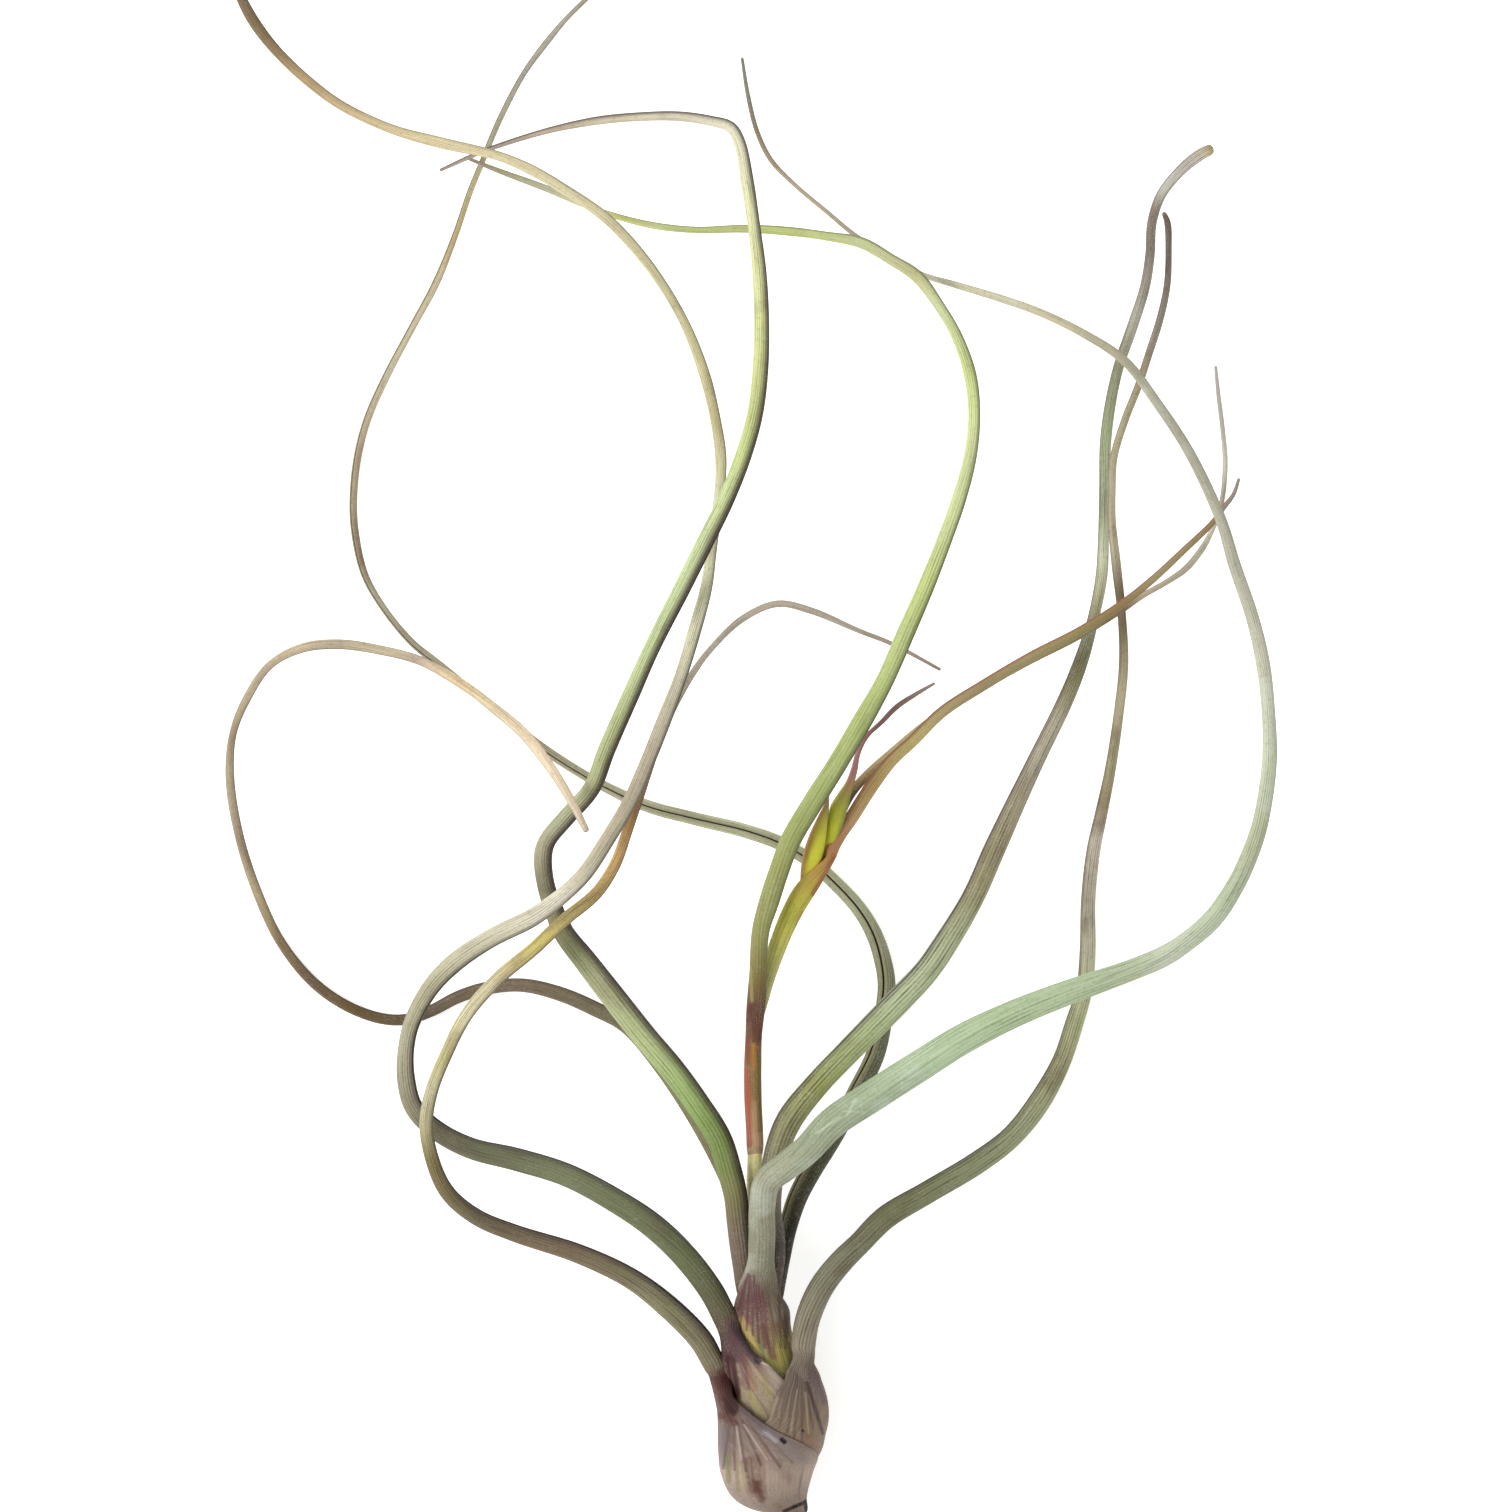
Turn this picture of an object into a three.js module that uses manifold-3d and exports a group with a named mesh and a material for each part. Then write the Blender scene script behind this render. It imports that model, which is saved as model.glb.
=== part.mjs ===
// An air plant, picked and laid on its back: a bulb of nested leaf sheaths, eight long rolled
// leaves, and a flower stalk with leafy bracts and two flower spikes.
//
// Millimetres. +X is right, +Y runs from the bulb to the leaf tips and +Z is up from the surface
// that the plant lies on. The origin is the middle of the small flat that the bulb rests on.

import * as THREE from 'three';
import * as BufferGeometryUtils from 'three/addons/utils/BufferGeometryUtils.js';
import Module from 'manifold-3d';

const wasm = await Module();
wasm.setup();

// Driving dimensions
const REST_UP = 0.9;           // where the bulb rests, measured up from the zero of the tables
const SHEATH_WALL = 0.9;      // thickness of a sheath along its midrib
const MARGIN_WALL = 0.6;      // thickness of a sheath or a blade at its margins
const BRACT_WALL = 0.6;       // thickness of a clasping bract
const BLADE_ROLL = 150;       // degrees that a rolled blade reaches to each side of its midrib
const CHANNEL_CORE = 0.15;    // radius of the channel's floor, as a share of the blade's radius
const CHANNEL_LIP = 0.55;     // radius of the channel's lips, as a share of the blade's radius
const SOLID_BELOW = 0.9;      // a blade with a smaller radius than this has lost its channel
const FINE_STEP = 0.8;        // spacing at which the curves are worked out
const BLADE_STEP = 12;        // longest stretch between two sections of a blade
const SHEATH_STEP = 2.6;      // longest stretch between two sections of a sheath
const LARGEST_TURN = 13;      // degrees that a blade may turn between two sections
const LARGEST_CHANGE = 0.3;   // share that its radius may change between two sections
const BLADE_SIDES = { outer: 7, inner: 5 };
const BRACT_SIDES = { outer: 6, inner: 4 };
const SHEATH_SIDES = { outer: 15, inner: 9 };

const radians = THREE.MathUtils.degToRad;

const COLOURS = {
  leaf: 0x8c9a78,
  stem: 0x3d2c25,
  scape: 0xa8825a,
  bract: 0xa9b36c,
  spike: 0xcfc24a,
};

// Sheath rows: right, up and height of the centre that the sheath curves about, its radius, the
// direction of its midrib (0 points right, 90 up from the surface), and the angle that it reaches
// to each side of the midrib. Blade rows: right, up, height and half width of the rolled blade.
// Both run from the stem to the tip. twist turns the channel about the blade, from end to end.
const LEAVES = {
  leaf_1: {
    twist: 40,
    sheath: [
      [3.9, -15.4, 10.8, 3.0, 180, 168],
      [1.4, -14.0, 10.6, 6.0, 180, 172],
      [-0.3, -11.6, 10.6, 7.5, 180, 172],
      [-0.8, -7.0, 10.6, 9.2, 180, 172],
      [-0.2, -3.5, 10.6, 10.2, 180, 160],
      [0.1, -1.2, 10.6, 10.8, 180, 130],
      [0.2, 2.0, 10.6, 11.05, 180, 92],
      [0.1, 5.5, 10.8, 11.1, 180, 64],
      [0.0, 8.4, 11.0, 11.2, 180, 46],
      [-6.2, 11.4, 11.4, 6.3, 180, 66],
      [-9.6, 13.2, 11.8, 3.6, 180, 85],
    ],
    blade: [
      [-11.9, 14.9, 12.3, 2.55], [-14.6, 19.8, 13.6, 2.5], [-20.3, 26.1, 15.5, 2.4],
      [-28.1, 32.1, 17, 2.15], [-38.5, 37.1, 19.5, 2], [-51.3, 41.3, 24, 1.8],
      [-59, 44.6, 29, 1.7], [-64.8, 49.6, 35, 1.6], [-67.7, 55.9, 40, 1.45],
      [-69, 63, 42, 1.4], [-68, 69.6, 43, 1.35], [-65.1, 77, 43.5, 1.3],
      [-61, 85, 44, 1.35], [-55, 92, 44, 1.4], [-47.5, 98.3, 43.5, 1.4],
      [-41.2, 104.2, 42.5, 1.35], [-35, 109.4, 41, 1.3], [-31.3, 115.1, 40, 1.2],
      [-29, 121.4, 39, 1.1], [-27.2, 126.7, 38, 1.05], [-21.3, 143.2, 37, 0.85],
      [-15.8, 153.4, 37, 0.7], [-11.6, 158.9, 37.5, 0.65], [-5.9, 164.2, 39, 0.7],
      [1, 167.2, 40, 0.7], [7.6, 165.9, 39.5, 0.7], [17.4, 161.8, 37, 0.5],
      [24, 159.2, 34, 0.45], [33.8, 154, 28, 0.32],
    ],
  },
  leaf_2: {
    twist: 60,
    sheath: [
      [2.1, -11.0, 10.8, 2.6, 160, 165],
      [1.2, -9.8, 10.7, 3.7, 160, 165],
      [0.2, -7.0, 10.6, 5.2, 160, 165],
      [-0.1, -3.0, 10.6, 6.8, 160, 165],
      [0.1, 1.0, 10.7, 7.6, 160, 160],
      [0.1, 5.0, 10.9, 8.6, 160, 140],
      [0.0, 9.0, 11.1, 8.9, 160, 112],
      [-0.2, 12.5, 11.5, 8.75, 160, 86],
      [-0.9, 15.5, 12.1, 8.3, 158, 68],
      [-3.3, 18.0, 13.4, 6.4, 157, 60],
      [-7.5, 21.5, 15.4, 3.2, 156, 100],
    ],
    blade: [
      [-10.3, 25.4, 15.9, 2.7], [-12.2, 29.7, 17.5, 2.6], [-17.5, 36.9, 20, 2.65],
      [-23.9, 42.9, 22, 2.6], [-31.2, 47.8, 23.5, 2.5], [-41, 53, 25, 2.4],
      [-51.3, 56.2, 26, 2.4], [-60.2, 58.4, 27, 2.2], [-66.8, 61.8, 28, 2.05],
      [-71.5, 66.4, 30, 1.9], [-73.1, 72.1, 32, 1.85], [-73.1, 78.2, 34.5, 1.65],
      [-71.8, 83.8, 37, 1.65], [-68.2, 90.4, 40, 1.8], [-63.2, 95.6, 43, 1.95],
      [-56.4, 100.2, 45.5, 1.9], [-47.7, 104.6, 47.5, 1.9], [-42.2, 108.6, 48.5, 1.65],
      [-37.4, 113.2, 49.5, 1.6], [-33.1, 119.6, 50, 1.55], [-28.5, 127.4, 50, 1.5],
      [-24.7, 135.9, 50, 1.5], [-21.6, 143.7, 49.5, 1.5], [-18.1, 152.9, 49, 1.3],
      [-15.4, 161.8, 48, 1.35], [-13.1, 170.4, 47, 1.25], [-12, 178.2, 46, 1.1],
      [-10.4, 190, 45.5, 1.1], [-10.2, 196.6, 45, 1.2], [-11.3, 204.3, 45, 1.1],
      [-13.4, 212.9, 45.5, 1.15], [-17.2, 222.8, 46, 1.0], [-22.4, 231.8, 45.5, 1.0],
      [-28.4, 239.5, 45, 1.1], [-33.8, 244.8, 44, 1.1], [-41.6, 250.1, 42, 1.1],
      [-47.9, 253.8, 41, 1.1], [-54.4, 256.6, 39.5, 1.0], [-66.2, 259.4, 35, 1.2],
      [-76, 262.2, 30, 1.0], [-85.8, 266.8, 26, 1.0], [-92.4, 271.6, 22, 1.05],
      [-99.4, 278.3, 18, 1.1], [-104, 284.4, 15, 1.2], [-106.8, 289.9, 13, 1.05],
      [-110, 299, 9.5, 0.9], [-113.4, 311, 5, 0.7], [-115.6, 323, 1.8, 0.5],
      [-116, 331, 0.8, 0.35],
    ],
  },
  leaf_3: {
    twist: 70,
    nest: 135,
    blade: [
      [-3.35, 20, 15.1, 1.65], [-4.3, 26, 15.9, 1.8], [-5.2, 30, 15.5, 1.95],
      [-5.8, 35, 16.8, 2.1], [-6.2, 39, 18.6, 2.3], [-6.7, 43.6, 20.9, 2.35],
      [-7.2, 48.8, 23, 2.45], [-8.4, 53.8, 24.5, 2.6], [-10.6, 60.4, 26, 2.75],
      [-14.6, 67, 27.5, 2.85], [-19.8, 74.2, 29, 2.8], [-25.4, 80.8, 30, 2.7],
      [-31.3, 88.3, 31, 2.6], [-37.1, 95.8, 31.5, 2.45], [-41.5, 101.5, 32, 2.2],
      [-43.5, 106.1, 32, 2], [-45.2, 111.4, 32.5, 1.85], [-45.7, 117, 33, 1.9],
      [-44.8, 119.9, 33.5, 1.8], [-41.1, 124.4, 35, 1.8], [-36, 130.3, 37, 1.8],
      [-33, 137.9, 40, 1.8], [-28.2, 148.8, 45, 1.75], [-23.8, 158.6, 49.5, 1.65],
      [-17.8, 170.4, 54, 1.75], [-12.6, 180.8, 57, 1.75], [-9.1, 187.9, 58.5, 1.7],
      [-5.7, 196.5, 60, 1.7], [-3.3, 205, 61, 1.65], [-2.2, 214.2, 61.5, 1.65],
      [-2, 222.8, 61.5, 1.6], [-2.4, 232.6, 61, 1.5], [-3.6, 243, 60, 1.3],
      [-4.9, 251.4, 58, 1.4], [-6.4, 259.1, 55, 1.25], [-8.2, 262.2, 53, 1.2],
      [-12.1, 263.5, 50, 1.1], [-18.4, 264.5, 46, 1.05], [-26.4, 264.5, 41, 0.95],
      [-34.8, 263.8, 36, 0.9], [-44.6, 261.9, 31, 0.65], [-55.6, 258.6, 25.5, 0.5],
      [-61.2, 256.4, 22, 0.45], [-66.6, 254, 19, 0.32],
    ],
  },
  leaf_4: {
    twist: 30,
    nest: 225,
    blade: [
      [-3.35, 20, 11.4, 1.6], [-4.3, 26, 11.7, 1.7], [-4.9, 30, 10.9, 1.7],
      [-4.9, 36, 11.2, 1.7], [-5.8, 43, 11.2, 1.7], [-8, 50, 10.8, 1.7],
      [-14, 62, 9.5, 1.65], [-22.4, 74.8, 8.5, 1.55], [-29.4, 82.8, 7.5, 1.5],
      [-35.2, 86, 7, 1.55], [-42.7, 89.2, 6.2, 1.5], [-50.4, 90.9, 5.2, 1.4],
      [-58, 90.1, 4.2, 1.35], [-63.2, 88.4, 3.4, 1.3], [-68.2, 85.8, 2.5, 1.25],
      [-73.4, 84, 1.8, 1.15], [-78.4, 84.6, 1.3, 1.15], [-85.2, 87.2, 1.12, 1.12],
      [-91.8, 92, 1.15, 1.1], [-98.2, 99.8, 1.8, 1.0], [-103.3, 109.7, 3.5, 1],
      [-106.8, 120.8, 6.5, 0.95], [-108.6, 132.4, 11, 0.95], [-108, 141, 14.5, 0.8],
      [-105.2, 148.1, 18.5, 0.9], [-100.4, 155, 22.5, 0.85], [-93.8, 158.4, 26, 1],
      [-86.6, 159.1, 28.5, 1.05], [-78.6, 158, 30.5, 1], [-70.3, 155.8, 32, 0.95],
      [-62.4, 151.4, 33.5, 1.0], [-55.8, 146.6, 35.5, 1.0], [-49.4, 141, 38, 1.15],
      [-44.2, 134.4, 41.5, 1.05], [-40.2, 128, 45, 0.9], [-36.9, 121.6, 48.2, 0.65],
    ],
  },
  leaf_5: {
    twist: 20,
    nest: 315,
    blade: [
      [0.35, 20, 11.4, 1.65], [0.1, 26, 11.7, 1.8], [0.7, 30, 10.9, 1.85],
      [1.8, 36, 11.3, 1.85], [3.2, 42.4, 11.2, 1.85], [5.1, 48.3, 11, 2],
      [7.7, 53.3, 10.2, 2.05], [12.2, 60.4, 8.8, 1.95], [17.4, 70, 7, 1.95],
      [20.8, 77.2, 5.8, 1.9], [22.4, 84.8, 4.8, 1.85], [23, 91, 4, 1.8],
      [22.2, 96, 3.4, 1.75], [20.4, 101.2, 2.9, 1.65], [17.4, 106.2, 2.4, 1.55],
      [12.2, 111.8, 2.0, 1.45], [7.6, 115.8, 1.9, 1.42], [1.6, 119.3, 1.9, 1.4],
      [-5.5, 121.8, 2.1, 1.4], [-15.4, 124.2, 3.5, 1.3], [-25.1, 126.8, 6, 1.25],
      [-32.2, 130, 8.5, 1.1], [-38, 133.2, 10.5, 1.0], [-46, 138.4, 12.5, 1],
      [-55, 145.6, 13, 0.85], [-66.8, 155.2, 12, 0.8], [-72.1, 159.5, 10.5, 0.75],
      [-77.4, 165.8, 8.5, 0.7], [-81.6, 173, 6, 0.75], [-83.6, 181.4, 3.5, 0.8],
      [-84, 188, 2.2, 0.8], [-83.2, 196.6, 1.3, 0.8], [-81.2, 204.4, 0.85, 0.8],
      [-77.4, 213, 0.85, 0.78], [-72.2, 222.8, 1.6, 0.75], [-67.4, 231.7, 3.5, 0.8],
      [-63.6, 241, 7, 0.65], [-60.4, 250.2, 11, 0.62], [-58, 256, 13.5, 0.6],
      [-56.4, 260, 15.2, 0.6], [-53.8, 265.8, 18, 0.6], [-49.6, 273.5, 22, 0.58],
      [-45.4, 279.2, 25, 0.65], [-41, 284.4, 28, 0.52], [-36.4, 289, 30.5, 0.5],
      [-32, 295, 33, 0.45], [-28, 303, 35.5, 0.4], [-26, 312, 36.5, 0.32],
    ],
  },
  leaf_6: {
    twist: -30,
    sheath: [
      [1.4, -8.4, 10.8, 2.5, 90, 160],
      [0.7, -7.0, 10.7, 3.6, 90, 160],
      [0.1, -4.0, 10.7, 4.75, 90, 162],
      [0.0, 0.0, 10.8, 5.9, 90, 162],
      [0.0, 5.0, 11.0, 6.7, 90, 150],
      [-0.2, 10.0, 11.4, 7.1, 90, 140],
      [-0.7, 15.0, 12.2, 6.6, 90, 125],
      [-1.1, 18.5, 12.9, 5.9, 90, 115],
      [-1.7, 22.5, 13.8, 5.5, 90, 103],
      [-2.1, 26.0, 14.8, 5.6, 90, 90],
      [-2.6, 29.6, 17.2, 4.5, 90, 68],
      [-2.3, 32.6, 19.9, 3.2, 90, 84],
    ],
    blade: [
      [-2.2, 35.6, 22, 2.7], [-2, 41, 25, 2.7], [-2, 46.2, 27.4, 2.65],
      [-1, 51.6, 30.5, 2.75], [2.8, 54.8, 33, 2.9], [7, 58.2, 36, 2.95],
      [12.2, 63, 39, 2.95], [19.8, 68.6, 43, 2.95], [27.6, 74.2, 46.5, 2.85],
      [37.8, 80.2, 50.5, 2.85], [48, 85.3, 53.5, 2.75], [58.3, 89.4, 55, 2.5],
      [71.8, 94.2, 54, 2.15], [78, 96.8, 52.5, 2.1], [81.6, 99, 51, 2],
      [87.8, 104.2, 48, 2], [92.6, 111.2, 45, 1.85], [95.8, 118.1, 42.5, 1.75],
      [97.7, 124.1, 40.5, 1.65], [99.4, 135.8, 37.5, 1.55], [99.2, 145.6, 36.5, 1.4],
      [98.1, 155.4, 36.5, 1.45], [96, 164.4, 38, 1.35], [92.4, 174.9, 41, 1.3],
      [89.6, 184, 43.5, 1.15], [83.4, 197.2, 46.5, 1.05], [77, 207, 48, 1.0],
      [70.4, 215.6, 48, 0.95], [62.2, 221.1, 46.5, 0.85], [53.4, 225.4, 43.5, 0.8],
      [45.6, 228.2, 39.5, 0.8], [36.9, 230.9, 35.5, 0.7], [29.2, 233.4, 32, 0.55],
      [17.4, 240.4, 28.5, 0.5], [10.8, 245.8, 27.5, 0.45], [4.4, 251.2, 28, 0.45],
      [-0.2, 256, 29.5, 0.52], [-3, 261.7, 32, 0.5], [-4.8, 268.9, 35, 0.45],
      [-6, 276.4, 38.5, 0.31],
    ],
  },
  leaf_7: {
    twist: 60,
    nest: 45,
    blade: [
      [0.35, 20, 15.1, 1.65], [0.2, 26, 15.9, 1.8], [-0.1, 30, 15.3, 1.9],
      [0.6, 36, 16.1, 2.0], [0.4, 41, 18.4, 2.1], [-0.3, 46, 21, 2.15],
      [-0.2, 51, 23, 2.3], [0.8, 57.4, 25, 2.5], [3.4, 64, 26.5, 2.7],
      [9.1, 71.3, 28, 2.55], [15.8, 78.3, 29.5, 2.55], [23.1, 85.7, 30, 2.7],
      [30.6, 93.5, 29.5, 2.6], [34.4, 98.9, 28.5, 2.55], [40.1, 108.4, 26.5, 2.3],
      [44.4, 118, 24, 2.25], [48.6, 127.1, 21.5, 2], [53.3, 136.9, 19.5, 1.75],
      [58.5, 147.5, 18, 1.65], [61.7, 155.4, 17, 1.5], [64.2, 163.8, 16, 1.2],
      [66, 173, 15.5, 1.25], [66.4, 181.4, 15.5, 1.15], [66.6, 190, 15.5, 1.15],
      [66.8, 199.8, 16, 1.2], [67.8, 207.6, 16.5, 1.15], [69.4, 214.8, 17, 1.1],
      [72.1, 222.7, 18.5, 1.15], [74.6, 230.6, 21, 1.05], [75.6, 237, 23.5, 1],
      [76, 243.6, 26, 1], [77.9, 249.2, 28.5, 1.05], [82.1, 254.3, 31, 1.15],
      [85.7, 257.1, 32.5, 1.25], [88.2, 258.3, 33.5, 1.1],
    ],
  },
  leaf_8: {
    twist: -40,
    sheath: [
      [3.1, -13.2, 10.8, 3.0, 48, 160],
      [1.6, -12.0, 10.6, 4.4, 48, 162],
      [0.4, -9.5, 10.6, 6.1, 48, 165],
      [-0.4, -5.5, 10.6, 7.7, 48, 160],
      [-0.2, -2.0, 10.6, 8.9, 48, 125],
      [0.2, 1.0, 10.6, 9.6, 48, 86],
      [0.9, 3.6, 10.6, 9.9, 48, 52],
      [0.6, 6.5, 10.8, 10.7, 48, 46],
      [0.4, 9.5, 11.0, 10.6, 48, 38],
      [0.9, 12.3, 11.8, 9.4, 48, 31],
      [4.8, 15.2, 15.8, 3.7, 50, 60],
      [6.1, 17.0, 17.2, 2.5, 50, 105],
    ],
    blade: [
      [6.3, 18.8, 17.8, 2.45], [6.8, 22.6, 19, 2.5], [8, 26.6, 19.6, 2.55],
      [10.2, 31, 19.5, 2.55], [13.8, 35.6, 18.8, 2.5], [17.6, 39.4, 17.8, 2.4],
      [22.7, 44.4, 16, 2.45], [31.1, 49.4, 13, 2.35], [41.1, 55.3, 9, 2.35],
      [48.1, 60.6, 5.5, 2.25], [53.7, 67.6, 3.2, 2.3], [58.1, 75.7, 2.2, 1.95],
      [60.6, 83.1, 1.85, 1.9], [62.6, 89.9, 1.8, 1.7], [63.3, 97.6, 2.4, 1.65],
      [63.4, 107.8, 4, 1.5], [64.4, 117.6, 6.5, 1.45], [66, 125.4, 9, 1.3],
      [67.6, 133.2, 11.5, 1.15], [69.2, 143.6, 14, 1.05], [70.4, 155.4, 16.5, 1],
      [70, 165.2, 18.5, 0.9], [68.9, 175, 20.5, 1], [68, 184, 21.5, 0.85],
      [68, 190, 22, 0.82], [68.4, 196.6, 22.5, 0.8], [70.7, 204.3, 23, 0.8],
      [73.3, 210.9, 23, 0.8], [75.4, 217.3, 22.8, 0.8], [77.7, 224.5, 21.5, 0.78],
      [79.1, 231.2, 19.5, 0.72], [79.4, 238.4, 17, 0.68], [79.2, 243.6, 15.5, 0.7],
      [78.4, 245.8, 15, 0.45],
    ],
  },
};

// The sheaths of the four inner leaves stand as quarters round the foot of the flower stalk.
// Rows: right, up, height, radius and the angle reached to each side of the midrib.
const NEST_ROWS = [
  [0.2, -5.0, 10.8, 2.7, 34],
  [0.0, -2.0, 10.8, 3.9, 38],
  [0.0, 4.0, 11.0, 5.0, 38],
  [-0.3, 10.0, 11.5, 5.1, 38],
  [-0.8, 14.5, 12.3, 4.7, 40],
];
// Where a quarter starts to roll into its blade: the centre it leaves, and its own radius
const NEST_ROLL = { right: -1.1, up: 17.3, height: 12.8, offset: 2.0, radius: 2.3, half: 58 };
const NEST_WALL = 1.2;

// Leafy bracts on the flower stalk, each with a clasping sheath and a rolled blade
const BRACTS = {
  bract_long: {
    twist: 90,
    sheath: [
      [-3.6, 58.0, 22.3, 1.55, 125, 158],
      [-3.6, 62.0, 23.2, 1.6, 125, 158],
      [-3.6, 68.0, 24.6, 1.65, 125, 155],
      [-3.7, 75.0, 26.2, 1.65, 125, 138],
      [-3.4, 82.0, 28.0, 1.7, 125, 100],
      [-3.0, 87.4, 29.4, 1.75, 125, 95],
    ],
    blade: [
      [-2.8, 93.4, 31, 1.75], [-2.2, 102, 33, 1.8], [-0.6, 107.8, 34.4, 1.85],
      [1.4, 114, 36, 1.9], [3.8, 120, 37.4, 1.95], [7.6, 127.2, 39, 1.95],
      [13.6, 135.8, 41, 2.0], [18, 143.6, 42.2, 2.0], [22.4, 151.5, 43, 1.95],
      [27, 161.9, 44, 1.85], [31, 171.1, 44.5, 1.7], [35, 181.4, 44.5, 1.55],
      [37.3, 187.9, 44.5, 1.5], [39.6, 196.6, 44, 1.35], [40.4, 205, 43, 1.25],
      [39.6, 212.9, 42.5, 1.3], [37, 220.5, 42, 1.15], [33.3, 226.9, 41, 1.12],
      [29, 232.6, 40.5, 1.3], [23.8, 236, 39.5, 1.15], [18, 239.3, 38.5, 1.2],
      [10.7, 240.7, 37.5, 0.95], [3, 241.7, 36, 0.95], [-5.4, 242.2, 34, 0.85],
      [-15.2, 242, 31.5, 0.7], [-23, 242.8, 29, 0.73], [-30.2, 244.5, 27, 0.65],
      [-38, 247.2, 24, 0.55], [-44.6, 250.2, 21.5, 0.7], [-54.4, 253.9, 18, 0.55],
      [-61.6, 256.8, 15.7, 0.31],
    ],
  },
  bract_upper: {
    twist: 40,
    sheath: [
      [-1.6, 87.4, 26.0, 1.5, 20, 150],
      [-0.7, 92.2, 26.9, 1.6, 20, 150],
      [0.6, 97.4, 27.8, 1.75, 20, 150],
      [2.4, 102.4, 28.4, 1.85, 18, 148],
      [4.4, 106.4, 28.4, 1.95, -5, 104],
      [6.9, 110.4, 27.4, 2.1, -25, 62],
      [9.6, 114.2, 26.6, 1.85, -25, 70],
    ],
    blade: [
      [12.0, 117.6, 26.3, 1.4], [14, 120.6, 26.6, 1.3], [16.4, 124.2, 27.3, 1.3],
      [19.9, 130.9, 29, 1.4], [23.8, 136.1, 30.5, 1.35], [27.8, 140.2, 31, 1.2],
      [34.1, 145.4, 31.5, 1.15], [42, 150.8, 31.5, 1.12], [51.8, 156.6, 31.5, 1.1],
      [61.6, 161.8, 31.5, 0.95], [70, 167.2, 31.5, 0.85], [76.3, 172.3, 31.5, 0.75],
      [82.2, 177.8, 31.5, 0.68], [88.2, 183.6, 31.8, 0.6], [90.2, 186.4, 32, 0.55],
      [92.2, 189, 32.2, 0.45], [93.4, 192.4, 32.5, 0.3],
    ],
  },
  bract_inner: {
    twist: 30,
    blade: [
      [9.4, 114.6, 23.3, 0.6], [13, 121.2, 23.9, 0.7], [16.6, 129.4, 25, 0.65],
      [19.2, 132.4, 25.5, 0.6], [24.2, 137, 26, 0.6], [31.8, 144.2, 26.2, 0.6],
      [42, 150.4, 26, 0.6], [51.8, 155.8, 26, 0.6], [61.6, 160.8, 26, 0.6],
      [70.6, 166.4, 26, 0.6], [74, 168.8, 26, 0.6], [78.9, 171.6, 26.2, 0.6],
      [82.8, 174.3, 26.5, 0.7], [86.1, 178.4, 27, 0.68], [87.8, 181.5, 27.5, 0.55],
      [89.8, 187, 28.5, 0.52], [90.6, 195.2, 30.5, 0.55], [90.1, 201.8, 32, 0.5],
      [89.2, 209, 34.5, 0.45], [88.6, 214.8, 37, 0.3],
    ],
  },
};

// Round pieces: right, up, height and radius along the middle
const STEM_ROWS = [
  [5.6, -20.5, 10.6, 1.85], [5.2, -18.2, 10.7, 2.1], [4.6, -16.6, 10.8, 1.65],
  [3.9, -15.2, 10.8, 1.6], [3.0, -13.2, 10.8, 1.6], [2.1, -11, 10.8, 1.45],
  [1.3, -8.4, 10.8, 1.25], [0.6, -6.2, 10.8, 1.1], [0.2, -4.4, 10.8, 0.9],
];
const SCAPE_ROWS = [
  [0.1, -3.8, 10.8, 0.9], [0, 3, 11, 1.1], [-0.5, 12, 12, 1.1],
  [-1.5, 20, 13.3, 0.65], [-2.1, 26, 13.8, 0.75], [-2.6, 31, 13.4, 0.8],
  [-3.1, 36, 14.8, 0.85], [-3.6, 42, 17, 1.0], [-3.8, 48, 19.4, 1.3],
  [-3.7, 52, 20.6, 1.5], [-3.6, 55, 21.5, 1.45], [-3.6, 56.8, 22, 0.6],
  [-3.6, 62, 23.2, 0.55], [-3.6, 68, 24.6, 0.55], [-3.7, 75, 26.2, 0.5],
  [-3.2, 81, 27.1, 0.5], [-2.2, 84.8, 26.3, 0.5], [-1.6, 87.4, 26, 0.5],
  [-0.7, 92.2, 26.9, 0.5], [0.6, 97.4, 27.8, 0.6], [2.4, 102.4, 28.3, 0.7],
  [4.6, 107, 28.3, 0.7],
];
const SPIKES = {
  spike_left: [
    [4.3, 107.5, 29.4, 0.45], [4.6, 109.4, 30.7, 1.0], [6.1, 112.3, 32.0, 1.85],
    [7.5, 116.8, 33.2, 1.95], [9.0, 120.6, 33.4, 1.8], [10.2, 124.2, 33.6, 1.25],
    [10.9, 127, 33.8, 0.75], [11.2, 129.8, 34, 0.32],
  ],
  spike_right: [
    [5.4, 107.6, 28.5, 0.45], [7.0, 110.2, 28.9, 0.6], [8.3, 112.2, 29.9, 0.85],
    [9.9, 115.0, 30.6, 1.2], [11.7, 119.2, 31.2, 1.6],
    [12.9, 123.4, 32, 1.75], [14.2, 127, 32.6, 1.5], [15.4, 130.8, 33.4, 1.1],
    [16.4, 134, 34.2, 0.8], [17.4, 137.2, 35, 0.6], [19.2, 140.8, 35.8, 0.52],
    [21.9, 143.4, 36.4, 0.55], [25.1, 146.5, 36.8, 0.7], [28.8, 149.2, 36.6, 0.5],
    [32.6, 151.4, 36, 0.3],
  ],
};

/** A point of the tables, moved so that the resting spot is the origin. */
function place(right, up, height) {
  return new THREE.Vector3(right, up - REST_UP, height);
}

/** The distance between the first three numbers of two rows. */
function spaced(a, b) {
  return Math.max(Math.hypot(a[0] - b[0], a[1] - b[1], a[2] - b[2]), 1e-4);
}

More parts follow.
